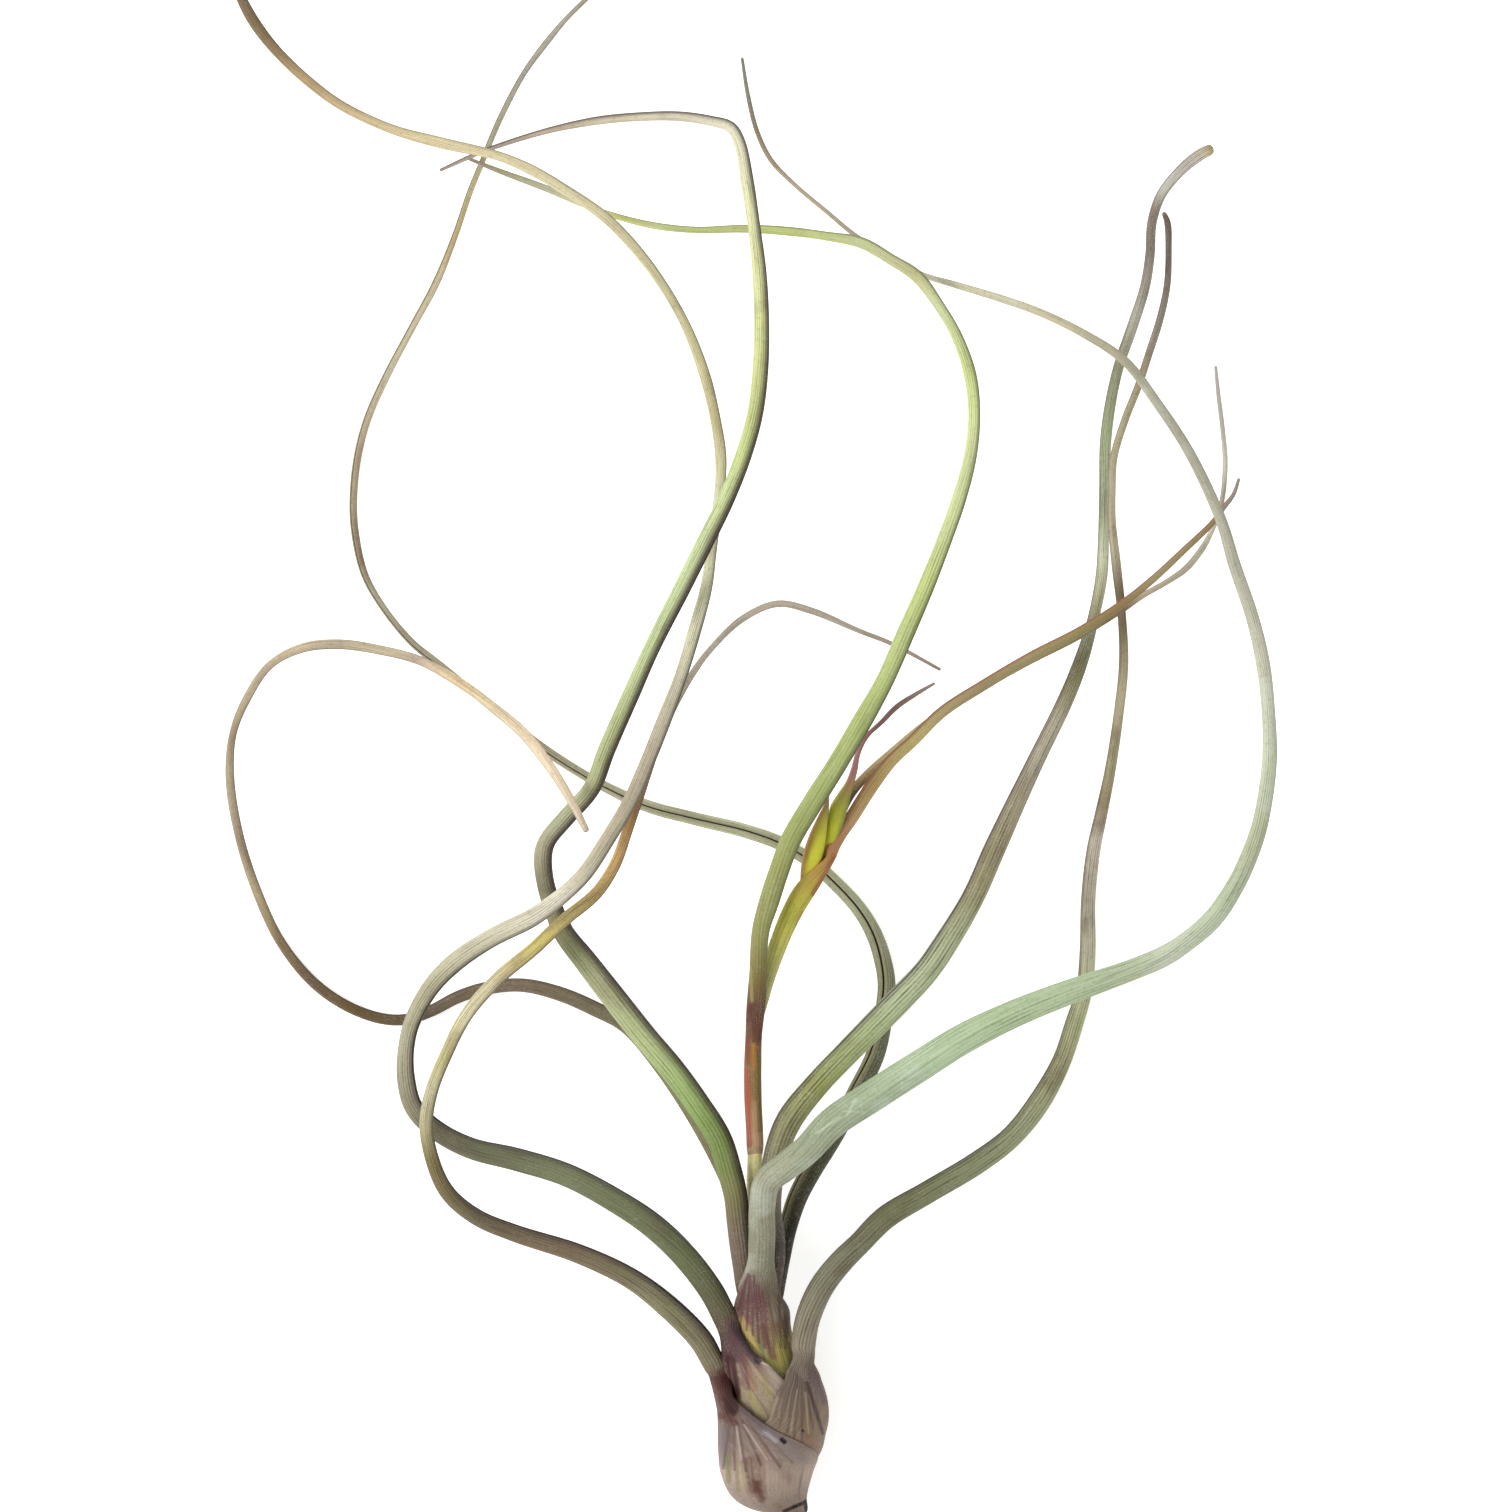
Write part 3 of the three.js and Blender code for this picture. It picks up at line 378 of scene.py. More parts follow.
class Shader:
    """The node tree of one material, with short ways to add its nodes."""

    # Where a Mix node keeps its amount and its two colours, and which of its outputs is a colour
    MIX_INPUTS = (0, 6, 7)
    MIX_OUTPUT = 2

    def __init__(self, name: str) -> None:
        """Starts an empty material.

        Args:
            name: the name of the material.
        """
        self.material = bpy.data.materials.new(name)
        self.material.use_nodes = True
        self.tree = self.material.node_tree
        self.surface = self.tree.nodes["Principled BSDF"]

    def node(self, kind: str, **settings: object) -> bpy.types.Node:
        """A new node of a kind, with its settings made."""
        made = self.tree.nodes.new(kind)
        for key, value in settings.items():
            setattr(made, key, value)
        return made

    def feed(self, socket: bpy.types.NodeSocket, value: object) -> None:
        """Links a value to a socket, or sets it there if it is a plain number."""
        if isinstance(value, bpy.types.NodeSocket):
            self.tree.links.new(value, socket)
        else:
            socket.default_value = value

    def trait(self, name: str) -> bpy.types.NodeSocket:
        """The value of one of the mesh's own attributes."""
        return self.node("ShaderNodeAttribute", attribute_name=name).outputs["Fac"]

    def math(self, how: str, *values: object) -> bpy.types.NodeSocket:
        """A sum, product or other function of one to three values."""
        made = self.node("ShaderNodeMath", operation=how)
        for socket, value in zip(made.inputs, values):
            self.feed(socket, value)
        return made.outputs[0]

    def times(self, a: object, b: object) -> bpy.types.NodeSocket:
        """One value times another."""
        return self.math("MULTIPLY", a, b)

    def plus(self, a: object, b: object) -> bpy.types.NodeSocket:
        """One value plus another."""
        return self.math("ADD", a, b)

    def less(self, a: object, b: object) -> bpy.types.NodeSocket:
        """One value less another."""
        return self.math("SUBTRACT", a, b)

    def vector(self, how: str, a: object, b: object, out: str = "Vector") -> bpy.types.NodeSocket:
        """A sum, product or other function of two vectors."""
        made = self.node("ShaderNodeVectorMath", operation=how)
        self.feed(made.inputs[0], a)
        self.feed(made.inputs[1], b)
        return made.outputs[out]

    def between(self, share: object, low: float, high: float) -> bpy.types.NodeSocket:
        """The value that lies a share of the way from low to high."""
        return self.math("MULTIPLY_ADD", share, high - low, low)

    def rise(self, value: object, low: float, high: float, top: float = 1.0) -> bpy.types.NodeSocket:
        """A smooth rise from 0 where the value is low to top where it is high."""
        made = self.node("ShaderNodeMapRange", interpolation_type="SMOOTHSTEP")
        self.feed(made.inputs["Value"], value)
        made.inputs["From Min"].default_value = low
        made.inputs["From Max"].default_value = high
        made.inputs["To Max"].default_value = top
        return made.outputs["Result"]

    def clamped(self, value: object) -> bpy.types.NodeSocket:
        """The value, held between 0 and 1."""
        made = self.node("ShaderNodeClamp")
        self.feed(made.inputs["Value"], value)
        return made.outputs["Result"]

    def point(self, x: object, y: object, z: object) -> bpy.types.NodeSocket:
        """A vector of three values."""
        made = self.node("ShaderNodeCombineXYZ")
        for socket, value in zip(made.inputs, (x, y, z)):
            self.feed(socket, value)
        return made.outputs[0]

    def place(self) -> bpy.types.NodeSocket:
        """The point's own place in the part."""
        return self.node("ShaderNodeTexCoord").outputs["Object"]

    def noise(self, where: object, scale: float, detail: float = 2.0) -> bpy.types.NodeSocket:
        """Smooth noise at a point."""
        made = self.node("ShaderNodeTexNoise")
        self.feed(made.inputs["Vector"], where)
        made.inputs["Scale"].default_value = scale
        made.inputs["Detail"].default_value = detail
        return made.outputs["Fac"]

    def drawn(self, reach: object, turn: object, noise: Drawn, seed: float) -> bpy.types.NodeSocket:
        """Noise drawn out along a leaf.

        Args:
            reach: how far along the leaf the point lies, in millimetres.
            turn: where it lies between the margins, from -1 to 1.
            noise: the kind of noise.
            seed: sets one leaf's noise apart from another's.

        Returns:
            The noise there.
        """
        where = self.point(self.times(reach, noise.along), self.times(turn, noise.across),
                           seed + noise.shift)
        return self.noise(where, 1.0, noise.detail)

    def spread(self, place: object, noise: Spread, top: float = 1.0) -> bpy.types.NodeSocket:
        """How strongly an even noise shows at a place, from 0 to top."""
        return self.rise(self.noise(place, noise.waves, noise.detail), noise.low, noise.high, top)

    def ramp(self, value: object, stops: Stops) -> bpy.types.NodeSocket:
        """A run of colours.

        Args:
            value: where on the run to read.
            stops: places from 0 to 1, each with its screen colour.

        Returns:
            The colour there.
        """
        made = self.node("ShaderNodeValToRGB")
        elements = made.color_ramp.elements
        elements[0].position, elements[1].position = stops[0][0], stops[-1][0]
        elements[0].color, elements[1].color = srgb(stops[0][1]), srgb(stops[-1][1])
        for share, code in stops[1:-1]:
            elements.new(share).color = srgb(code)
        self.feed(made.inputs["Fac"], value)
        return made.outputs["Color"]

    def mix(self, amount: object, a: object, b: object) -> bpy.types.NodeSocket:
        """The second colour laid over the first by an amount."""
        made = self.node("ShaderNodeMix", data_type="RGBA")
        for index, value in zip(self.MIX_INPUTS, (amount, a, b)):
            self.feed(made.inputs[index], value)
        return made.outputs[self.MIX_OUTPUT]

    def bump(self, height: object, distance: float, strength: float) -> None:
        """Raises the surface's shading by a height."""
        made = self.node("ShaderNodeBump")
        made.inputs["Strength"].default_value = strength
        made.inputs["Distance"].default_value = distance
        self.feed(made.inputs["Height"], height)
        self.tree.links.new(made.outputs["Normal"], self.surface.inputs["Normal"])

    def finish(self, colour: object, roughness: float, specular: float) -> bpy.types.Material:
        """Gives the surface its colour and gloss, and returns the material."""
        self.feed(self.surface.inputs["Base Color"], colour)
        self.surface.inputs["Roughness"].default_value = roughness
        self.surface.inputs["Specular IOR Level"].default_value = specular
        return self.material


class Edge(Enum):
    """How a mark on a sheath fades out: how far noise breaks its outline, and its firm share."""

    STAIN = (0.9, 0.2)
    STREAK = (0.5, 0.4)
    CRISP = (0.2, 0.6)


@dataclass(frozen=True)
class Mark:
    """A stain, streak or line on the upper face of a sheath, drawn from one place to another; some
    marks are painted shade in hollows and furrows and under margins.

    Attributes:
        start: right and up of one end, in millimetres in the frame of the part.
        end: right and up of the other end.
        width: how far it reaches to each side.
        colour: its colour.
        strength: how strongly it shows; above 1 it is firm further out.
        edge: how it fades out.
    """

    start: tuple[float, float]
    end: tuple[float, float]
    width: float
    colour: str
    strength: float
    edge: Edge = Edge.STREAK

    def over(self, s: Shader, colour: object, place: object, rough: object,
             taken: object) -> bpy.types.NodeSocket:
        """Lays the mark over a colour.

        The mark is strongest near the straight line between its ends and fades with the distance
        from it, which noise lengthens or shortens.

        Args:
            s: the material's shader.
            colour: the colour under the mark.
            place: the point's place seen from above, in millimetres.
            rough: noise about zero.
            taken: how much of a mark the point takes up.

        Returns:
            The marked colour.
        """
        way = np.array(self.end) - np.array(self.start)
        squared = max(float(way @ way), 1e-6)
        offset = s.vector("SUBTRACT", place, (*self.start, 0.0))
        share = s.clamped(s.vector("DOT_PRODUCT", offset, (*(way / squared), 0.0), "Value"))
        nearest = s.point(s.times(share, float(way[0])), s.times(share, float(way[1])), 0.0)
        away = s.vector("DISTANCE", offset, nearest, "Value")
        broken, firm = self.edge.value
        away = s.math("MULTIPLY_ADD", rough, broken * self.width, away)
        shown = s.rise(away, self.width, self.width * firm, self.strength)
        return s.mix(s.times(shown, taken), colour, srgb(self.colour))


@dataclass(frozen=True)
class Skin(ABC):
    """What covers a piece.

    Attributes:
        colours: row numbers, each with the colour of the piece there.
    """

    colours: Stops

    def stops(self, course: Course) -> Stops:
        """The colours, each with how far along the course it lies, from 0 to 1."""
        return tuple((course.share_at(row), code) for row, code in self.colours)

    @abstractmethod
    def material(self, name: str, course: Course) -> bpy.types.Material:
        """The skin's material, made for a piece with a course."""


@dataclass(frozen=True)
class LeafFinish(Skin):
    """The skin of a leaf: its colours from stem to tip, its ribs, stains and silvery scurf.

    Attributes:
        groove: the colour between the ribs, and how strongly it shows.
        streak: the colour of the long streaks, and how strongly it shows.
        rim_and_shade: the colour of the margins, with painted shade on the flanks towards them, and how
            strongly it shows.
        rim_shade_from: where between the midrib and a blade's margin that colour and its painted shade
            start.
        channel: the colour inside the roll: the inner face's own colour, darkened with painted shade
            for the deep roll.
        blotch: the colour of the stains, and how strongly it shows.
        scurf: how strongly the silvery scales show.
        ribs: the number of ribs from one margin to the other on the blade.
        fan: how strongly the closer ribs of the sheath show.
        fan_rows: the rows between which those ribs rise to their full strength.
        marks: stains, streaks and lines on the sheath, and painted shade in some of its hollows and
            furrows and under its margins.
        seed: sets this leaf's noise apart from the others'.
    """

    groove: tuple[str, float] = ("3f3d2c", 0.5)
    streak: tuple[str, float] = ("4c4636", 0.35)
    rim_and_shade: tuple[str, float] = ("3b2f38", 0.6)
    rim_shade_from: float = 0.72
    channel: str = "4a4038"
    blotch: tuple[str, float] = ("6b5446", 0.25)
    scurf: float = 0.3
    ribs: int = 20
    fan: float = 0.5
    fan_rows: tuple[float, float] = (3.0, 7.5)
    marks: tuple[Mark, ...] = ()
    seed: float = 0.0

    def material(self, name: str, course: Course) -> bpy.types.Material:
        """The material of one leaf.

        The colour is read along the leaf, darkened between the ribs and along drawn-out noise,
        stained by coarse noise, tinted towards the margins with painted shade on the flanks, given
        painted shade inside the roll, powdered with fine pale scales, and marked where the sheath
        has stains and streaks of its own and painted shade in some hollows and furrows.

        Args:
            name: the name of the material.
            course: the leaf's course, which says how far along each row lies.

        Returns:
            The material.
        """
        s = Shader(name)
        along, reach, turn = s.trait("along"), s.trait("reach"), s.trait("turn")
        inside, sheath = s.trait("inside"), s.trait("sheath")
        place = s.place()
        wander, streaks, uneven, fibres = (s.drawn(reach, turn, noise, self.seed)
                                           for noise in (WANDER, STREAKS, UNEVEN, FIBRES))
        shift = s.times(s.less(streaks, 0.5), STREAK_SHIFT)
        colour = s.ramp(s.plus(along, shift), self.stops(course))

        blade_furrow = self.furrow(s, turn, wander, self.ribs, BLADE_SWAY)
        sheath_furrow = self.furrow(s, turn, uneven, self.ribs * SHEATH_RIBS, SHEATH_SWAY)
        fan_from, fan_to = (course.share_at(row) for row in self.fan_rows)
        broken = s.between(s.rise(s.plus(streaks, fibres), 0.84, 1.2), 0.15, 1.0)
        on_blade = s.times(s.less(1.0, sheath), self.groove[1])
        on_sheath = s.times(sheath, s.rise(along, fan_from, fan_to, self.fan))
        both_furrows = s.math("MULTIPLY_ADD", blade_furrow, 0.5, sheath_furrow)
        shown = s.plus(s.times(blade_furrow, on_blade), s.times(both_furrows, on_sheath))
        colour = s.mix(s.times(shown, broken), colour, srgb(self.groove[0]))

        colour = s.mix(s.rise(fibres, 0.52, 0.7, self.streak[1]), colour, srgb(self.streak[0]))
        colour = s.mix(s.spread(place, STAINS, self.blotch[1]), colour, srgb(self.blotch[0]))
        # The margins' own darker colour together with painted shade: both flanks are darkened towards
        # the margins
        edge_from = s.between(sheath, self.rim_shade_from, SHEATH_RIM_SHADE_FROM)
        edge = s.math("DIVIDE", s.less(s.math("ABSOLUTE", turn), edge_from), s.less(1.0, edge_from))
        colour = s.mix(s.rise(edge, 0.0, 0.8, self.rim_and_shade[1]), colour, srgb(self.rim_and_shade[0]))
        shade = s.spread(place, SHADE, SHADE_SHARE)
        colour = s.mix(s.times(shade, sheath), colour, srgb(SHADE_COLOUR))
        # The inner face takes the channel colour: its own colour with painted shade, darker deep in the
        # roll
        colour = s.mix(s.times(inside, CHANNEL_SHARE), colour, srgb(self.channel))

        fine = s.noise(place, SCALES.waves, SCALES.detail)
        specks = s.rise(fine, SCALES.low, SCALES.high, self.scurf)
        colour = s.mix(s.times(specks, s.spread(place, PATCHES)), colour, srgb(SCALE_COLOUR))
        colour = s.mix(s.spread(place, GRAIN, GRAIN_SHARE), colour, srgb(self.groove[0]))
        if self.marks:
            colour = self.marked(s, colour, place, fibres)
        furrows = s.plus(s.times(blade_furrow, s.between(sheath, -0.6, 0.0)),
                         s.times(sheath_furrow, s.between(sheath, 0.0, -0.6)))
        s.bump(s.math("MULTIPLY_ADD", fine, 0.45, furrows), LEAF_RELIEF, LEAF_RELIEF_SHARE)
        return s.finish(colour, LEAF_ROUGHNESS, LEAF_GLOSS)

    def furrow(self, s: Shader, turn: object, wander: object, ribs: int,
               sway: float) -> bpy.types.NodeSocket:
        """How deep in a furrow between two ribs a point lies: a squared, raised cosine.

        Args:
            s: the material's shader.
            turn: where the point lies between the margins, from -1 to 1.
            wander: slow noise that sways the ribs.
            ribs: the number of ribs between the margins.
            sway: how far the noise sways them, in radians.

        Returns:
            The depth, from 0 on a rib to 1 in a furrow.
        """
        phase = s.math("MULTIPLY_ADD", turn, float(np.pi * ribs), s.times(wander, sway))
        return s.math("POWER", s.math("MULTIPLY_ADD", s.math("COSINE", phase), -0.5, 0.5), 2.0)

    def marked(self, s: Shader, colour: object, place: object,
               fibres: object) -> bpy.types.NodeSocket:
        """Lays every mark of the sheath over a colour.

        Args:
            s: the material's shader.
            colour: the colour under the marks.
            place: the point's own place in the part, in metres.
            fibres: noise drawn out along the leaf, whose fibres take up more or less of a mark.

        Returns:
            The marked colour.
        """
        flat = s.vector("MULTIPLY", place, (1 / MM, 1 / MM, 0.0))
        height = s.vector("DOT_PRODUCT", place, (0.0, 0.0, 1 / MM), "Value")
        rough = s.less(s.noise(place, *BREAKING), 0.5)
        rough = s.math("MULTIPLY_ADD", s.less(fibres, 0.5), 1.2, rough)
        taken = s.between(s.rise(fibres, 0.32, 0.58), 0.6, 1.0)
        taken = s.times(taken, s.rise(height, *MARKS_FROM))
        for mark in self.marks:
            colour = mark.over(s, colour, flat, rough, taken)
        return colour


@dataclass
class Piece(ABC):
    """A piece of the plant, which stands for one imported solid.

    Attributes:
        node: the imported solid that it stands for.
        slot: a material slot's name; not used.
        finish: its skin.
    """

    node: str
    slot: str
    finish: Skin

    @abstractmethod
    def course(self) -> Course:
        """The course that the piece follows."""

    @abstractmethod
    def surface(self, course: Course) -> tuple[np.ndarray, dict[str, np.ndarray]]:
        """The rings of points of the piece's surface, and the values that its finish reads."""

    def build(self) -> None:
        """Makes the piece, dresses it and puts it in place of its solid."""
        course = self.course()
        thing = closed_grid(f"{self.node}_fine", *self.surface(course))
        thing.data.materials.append(self.finish.material(f"{self.node}_skin", course))
        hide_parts(self.node)
        log.info("%s: %d faces, %.0f mm", thing.name, len(thing.data.polygons), course.reach[-1])


@dataclass
class Leaf(Piece):
    """A leaf or leafy bract: a sheath, if it has one, that rolls up into a long blade.

    Attributes:
        sheath: rows of right, up, height, radius and reach to each side, in degrees.
        blade: rows of right, up, height and half width.
        rolls: row numbers, each with the angle from straight up to the midrib, clockwise as seen
            from the stem; the channel opens on the other side.
        finish: its skin.
        wall: the sheath's thickness along its midrib.
        lips: the reach of a rolled blade to each side of its midrib, in degrees.
        outer_points: the number of points across its back.
        inner_points: the number of points across its inner face.
        rib_depth: the depth of the furrows between its ribs.
        easing: how gently it turns from square to the bulb to square to its own course.
    """

    sheath: Rows
    blade: Rows
    rolls: tuple[tuple[float, float], ...]
    finish: LeafFinish
    wall: float = 0.9
    lips: float = 164.0
    outer_points: int = 92
    inner_points: int = 28
    rib_depth: float = 0.06
    easing: float = 2.2

    def course(self) -> Course:
        """The leaf's course, with columns for radius, reach, sheath share and roll."""
        rows = [(*row, 1.0) for row in self.sheath]
        rows += [(*row, self.lips, 0.0) for row in self.blade]
        table = np.array(rows)
        rolls = np.array(self.rolls)
        turned = np.interp(np.arange(len(table)), rolls[:, 0], rolls[:, 1])
        table = np.column_stack([table, turned])
        return Course(table, fine=(len(self.sheath), 1))

    def surface(self, course: Course) -> tuple[np.ndarray, dict[str, np.ndarray]]:
        """The leaf's surface, as rings of points.

        Each ring goes out along the back of the leaf, from one margin to the other at the leaf's
        radius, and comes home along its inner face: at a wall's depth in a sheath, and along a
        deep channel in a blade. Ribs are a squared cosine across the back. The last millimetres
        shrink as a half circle does.

        Args:
            course: the leaf's course.

        Returns:
            The points, and the values at each that the finish reads.
        """
        radius, half, share, roll = course.values[:, 3:7].T
        share = np.clip(share, 0.0, 1.0)
        half = np.radians(np.clip(half, 20.0, 173.0))[:, None]
        side, up = course.frames(course.eased(share, self.easing))
        roll = np.radians(roll)[:, None]
        outward = up * np.cos(roll) + side * np.sin(roll)
        across = side * np.cos(roll) - up * np.sin(roll)
        left = course.reach[-1] - course.reach
        blunt = np.minimum(1.0, left / max(radius[-1], 0.25))
        radius = (radius * rounded(blunt, LEAF_TIP))[:, None]
        share = share[:, None]

        out = np.linspace(-1.0, 1.0, self.outer_points)[None, :]
        furrow = np.sin(out * np.pi * self.finish.ribs / 2) ** 2 - 0.4
        pleated = smoothstep(course.reach[:, None], *self.pleats(course)) * share
        depth = self.rib_depth * np.clip(radius / 1.6, 0.25, 1.4)
        depth = depth * (1 - 0.85 * share + 1.6 * pleated)
        depth = depth * (0.7 + 0.3 * np.sin(out * 11 + course.reach[:, None] * 0.05))
        near_margin = smoothstep(np.abs(out), MARGIN_FROM, 1.0)
        outer = (radius - depth * furrow) * (1 - 0.1 * near_margin * (1 - share))
        outer = outer - 0.3 * near_margin * share
        home = np.linspace(1.0, -1.0, self.inner_points)[None, :] * INNER_MARGIN
        lean = np.abs(home)
        in_sheath = radius - (self.wall + (MARGIN_WALL - self.wall) * lean ** 2)
        in_blade = radius * (CHANNEL_FLOOR + CHANNEL_RISE * lean ** 1.6)
        filled = 1 - smoothstep(radius, 0.5, 1.1)
        inner = in_blade + (in_sheath - in_blade) * share
        inner = inner + (radius * 0.9 - inner) * filled * (1 - share) * lean ** 2
        turn = np.hstack([out + 0 * radius, home + 0 * radius])
        points = course.rings(outward, across, turn * half, np.hstack([outer, inner]))
        points[..., 2] = np.maximum(points[..., 2], 0.0)
        traits = course.traits(turn)
        traits["inside"] = np.hstack([0 * outer, 1 + 0 * inner])
        traits["sheath"] = share + 0 * turn
        return points, traits

    def pleats(self, course: Course) -> tuple[float, float]:
        """Where the sheath's own pleats begin and where they are full, along the course."""
        begin, full = (course.share_at(row) * course.reach[-1] for row in self.finish.fan_rows)
        return float(begin), float(full)


# Where the four inner leaves start to roll: the middle and the radius of a ring, in millimetres
NEST_TOP = (-1.1, 17.3, 12.8)
NEST_RING = 2.0

# The sheath rows that these leaves share
NEST_ROWS: Rows = (
    (0.2, -5.0, 10.8, 2.7, 34), (0.0, -2.0, 10.8, 3.9, 38), (0.0, 4.0, 11.0, 5.0, 38),
    (-0.3, 10.0, 11.5, 5.1, 38), (-0.8, 14.5, 12.3, 4.7, 40),
)


def nested_sheath(midrib: float) -> Rows:
    """The quarter sheath of an inner leaf.

    Args:
        midrib: the direction of its midrib, in degrees from the right towards up.

    Returns:
        Its sheath rows, the last of them where it starts to roll into its blade.
    """
    turn = np.radians(midrib)
    right, up, height = NEST_TOP
    aside, above = NEST_RING * float(np.cos(turn)), NEST_RING * float(np.sin(turn))
    return (*NEST_ROWS, (right + aside, up, height + above, 2.3, 58))


LEAF_1 = Leaf(
    node="leaf_1", slot="leaf_dry",
    sheath=(
        (3.9, -15.4, 10.8, 3.0, 168), (1.4, -14.0, 10.6, 6.0, 172), (-0.4, -11.6, 10.6, 7.7, 172),
        (-0.9, -7.0, 10.6, 9.4, 172), (-0.3, -3.5, 10.6, 10.45, 160), (0.1, -1.2, 10.6, 10.95, 130),
        (0.2, 2.0, 10.6, 11.05, 92), (0.1, 5.5, 10.8, 11.1, 64), (-0.2, 8.4, 11.0, 11.35, 48),
        (-6.7, 11.8, 11.4, 5.7, 74), (-9.8, 13.7, 11.9, 3.1, 108),
    ),
    blade=(
        (-11.4, 15.0, 12.3, 2.45), (-14.2, 19.8, 13.6, 2.45), (-20.3, 26.1, 15.5, 2.4),
        (-28.1, 32.1, 17, 2.15), (-38.5, 37.1, 19.5, 2), (-51.3, 41.3, 24, 1.8), (-59, 44.6, 29, 1.7),
        (-64.8, 49.6, 35, 1.6), (-67.7, 55.9, 40, 1.45), (-69, 63, 42, 1.4), (-68, 69.6, 43, 1.35),
        (-65.1, 77, 43.5, 1.3), (-61, 85, 44, 1.35), (-55, 92, 44, 1.4), (-47.5, 98.3, 43.5, 1.4),
        (-41.2, 104.2, 42.5, 1.35), (-35, 109.4, 41, 1.3), (-31.3, 115.1, 40, 1.2),
        (-29, 121.4, 39, 1.1), (-27.2, 126.7, 38, 1.05), (-21.3, 143.2, 37, 0.85),
        (-15.8, 153.4, 37, 0.7), (-11.6, 158.9, 37.5, 0.65), (-5.9, 164.2, 39, 0.7),
        (1, 167.2, 40, 0.7), (7.6, 165.9, 39.5, 0.7), (17.4, 161.8, 37, 0.5), (24, 159.2, 34, 0.45),
        (33.8, 154, 28, 0.32),
    ),
    rolls=((0, -90), (9, -90), (13, -104), (17, -100), (21, -98), (27, -90), (39, -60)),
    finish=LeafFinish(
        colours=(
            (0, "6b5a4e"), (3, "ab988a"), (5, "86746a"), (7, "705d54"), (8, "5c352b"), (9.4, "4a221b"),
            (11.2, "7c745a"), (13, "7b7a58"), (15, "7d7158"), (17, "70654b"), (19, "7b7140"),
            (20, "b0a87f"), (21, "c6c09c"), (22, "bdb67c"), (23, "dcd5ac"), (24, "d4c9a0"),
            (25, "d6c974"), (26, "c8b776"), (27, "cbb072"), (28, "d4ae70"), (29, "ae8854"),
            (30, "80603f"), (31, "a89b80"), (33, "cbc3b2"), (35, "bdb19e"), (37, "bdb3a4"),
            (39, "b6a598"),
        ),
        groove=("4f3d36", 0.6), rim_and_shade=("4a3a3c", 0.7), streak=("50382f", 0.45),
        blotch=("7a5a46", 0.3), scurf=0.14, fan=0.5, seed=1.0,
        marks=(
            Mark((-1.8, 0.6), (6.4, -5.0), 1.5, "7d7474", 0.6, Edge.STAIN),
            Mark((-1.6, 0.5), (0.6, -1.2), 0.9, "aaa4a8", 0.6, Edge.STAIN),
            # This mark and the next: the margin's own fine dark line together with the painted shadow
            # under the margin
            Mark((-6.2, 5.2), (-1.4, 1.2), 0.7, "574850", 0.7),
            Mark((-1.4, 1.2), (5.0, -2.4), 0.6, "6d6268", 0.6),
            Mark((-9.8, 0.6), (-9.4, -5.2), 2.0, "685e63", 0.65, Edge.STAIN),
            Mark((-4.7, -5.2), (-3.8, -11.0), 1.8, "5c3a2b", 0.8, Edge.STAIN),
            Mark((-2.5, -4.6), (-2.1, -10.8), 1.5, "6e4a3c", 0.65, Edge.STAIN),
            Mark((-3.1, -9.6), (-2.2, -12.6), 1.5, "4e2a20", 0.75, Edge.STAIN),
            Mark((-1.5, -1.6), (-1.1, -5.0), 1.0, "8a6454", 0.5, Edge.STAIN),
            Mark((0.8, -5.4), (3.6, -9.2), 1.6, "866c5b", 0.4, Edge.STAIN),
            Mark((-8.7, -4.2), (-8.7, -9.4), 0.75, "6f6a3c", 0.7),
            Mark((-7.2, -5.0), (-6.8, -11.4), 0.55, "797143", 0.6),
            Mark((-5.8, -6.0), (-5.4, -10.4), 0.5, "8d8754", 0.55),
            Mark((-9.4, 11.6), (-8.7, 4.4), 2.6, "3e1009", 0.95, Edge.STAIN),
            Mark((-8.7, 10.8), (-7.8, 5.4), 1.9, "2c0805", 1.0),
            Mark((-10.2, 3.6), (-7.4, 2.2), 1.1, "4c2018", 0.9, Edge.STAIN),
            Mark((-9.2, 2.8), (-8.2, -1.0), 1.1, "5a463e", 0.6, Edge.STAIN),
            Mark((-8.4, 2.4), (-9.8, -6.8), 0.4, "5a463f", 0.7),
            Mark((-7.6, 2.2), (-7.5, -7.0), 0.4, "5e4a42", 0.7),
            Mark((-6.7, 2.2), (-5.2, -7.2), 0.4, "5a463f", 0.7),
            Mark((-6.0, 2.8), (-2.2, -6.0), 0.45, "54423d", 0.75),
            Mark((-5.0, 3.0), (1.6, -6.4), 0.45, "5c4b48", 0.7),
            Mark((-4.0, 2.6), (4.2, -5.6), 0.4, "6b5c5a", 0.55),
            Mark((-5.6, 2.0), (-1.0, -5.0), 0.3, "b7a99e", 0.5),
            Mark((-7.1, 1.6), (-6.2, -5.0), 0.3, "b3a698", 0.5),
            Mark((2.0, -0.9), (2.5, -1.4), 0.6, "1c1418", 1.3),
            Mark((2.4, -15.4), (6.6, -13.6), 0.5, "24140f", 1.3),
            Mark((6.7, -13.4), (7.0, -15.6), 0.5, "1e1210", 1.3),
        ),
    ),
)

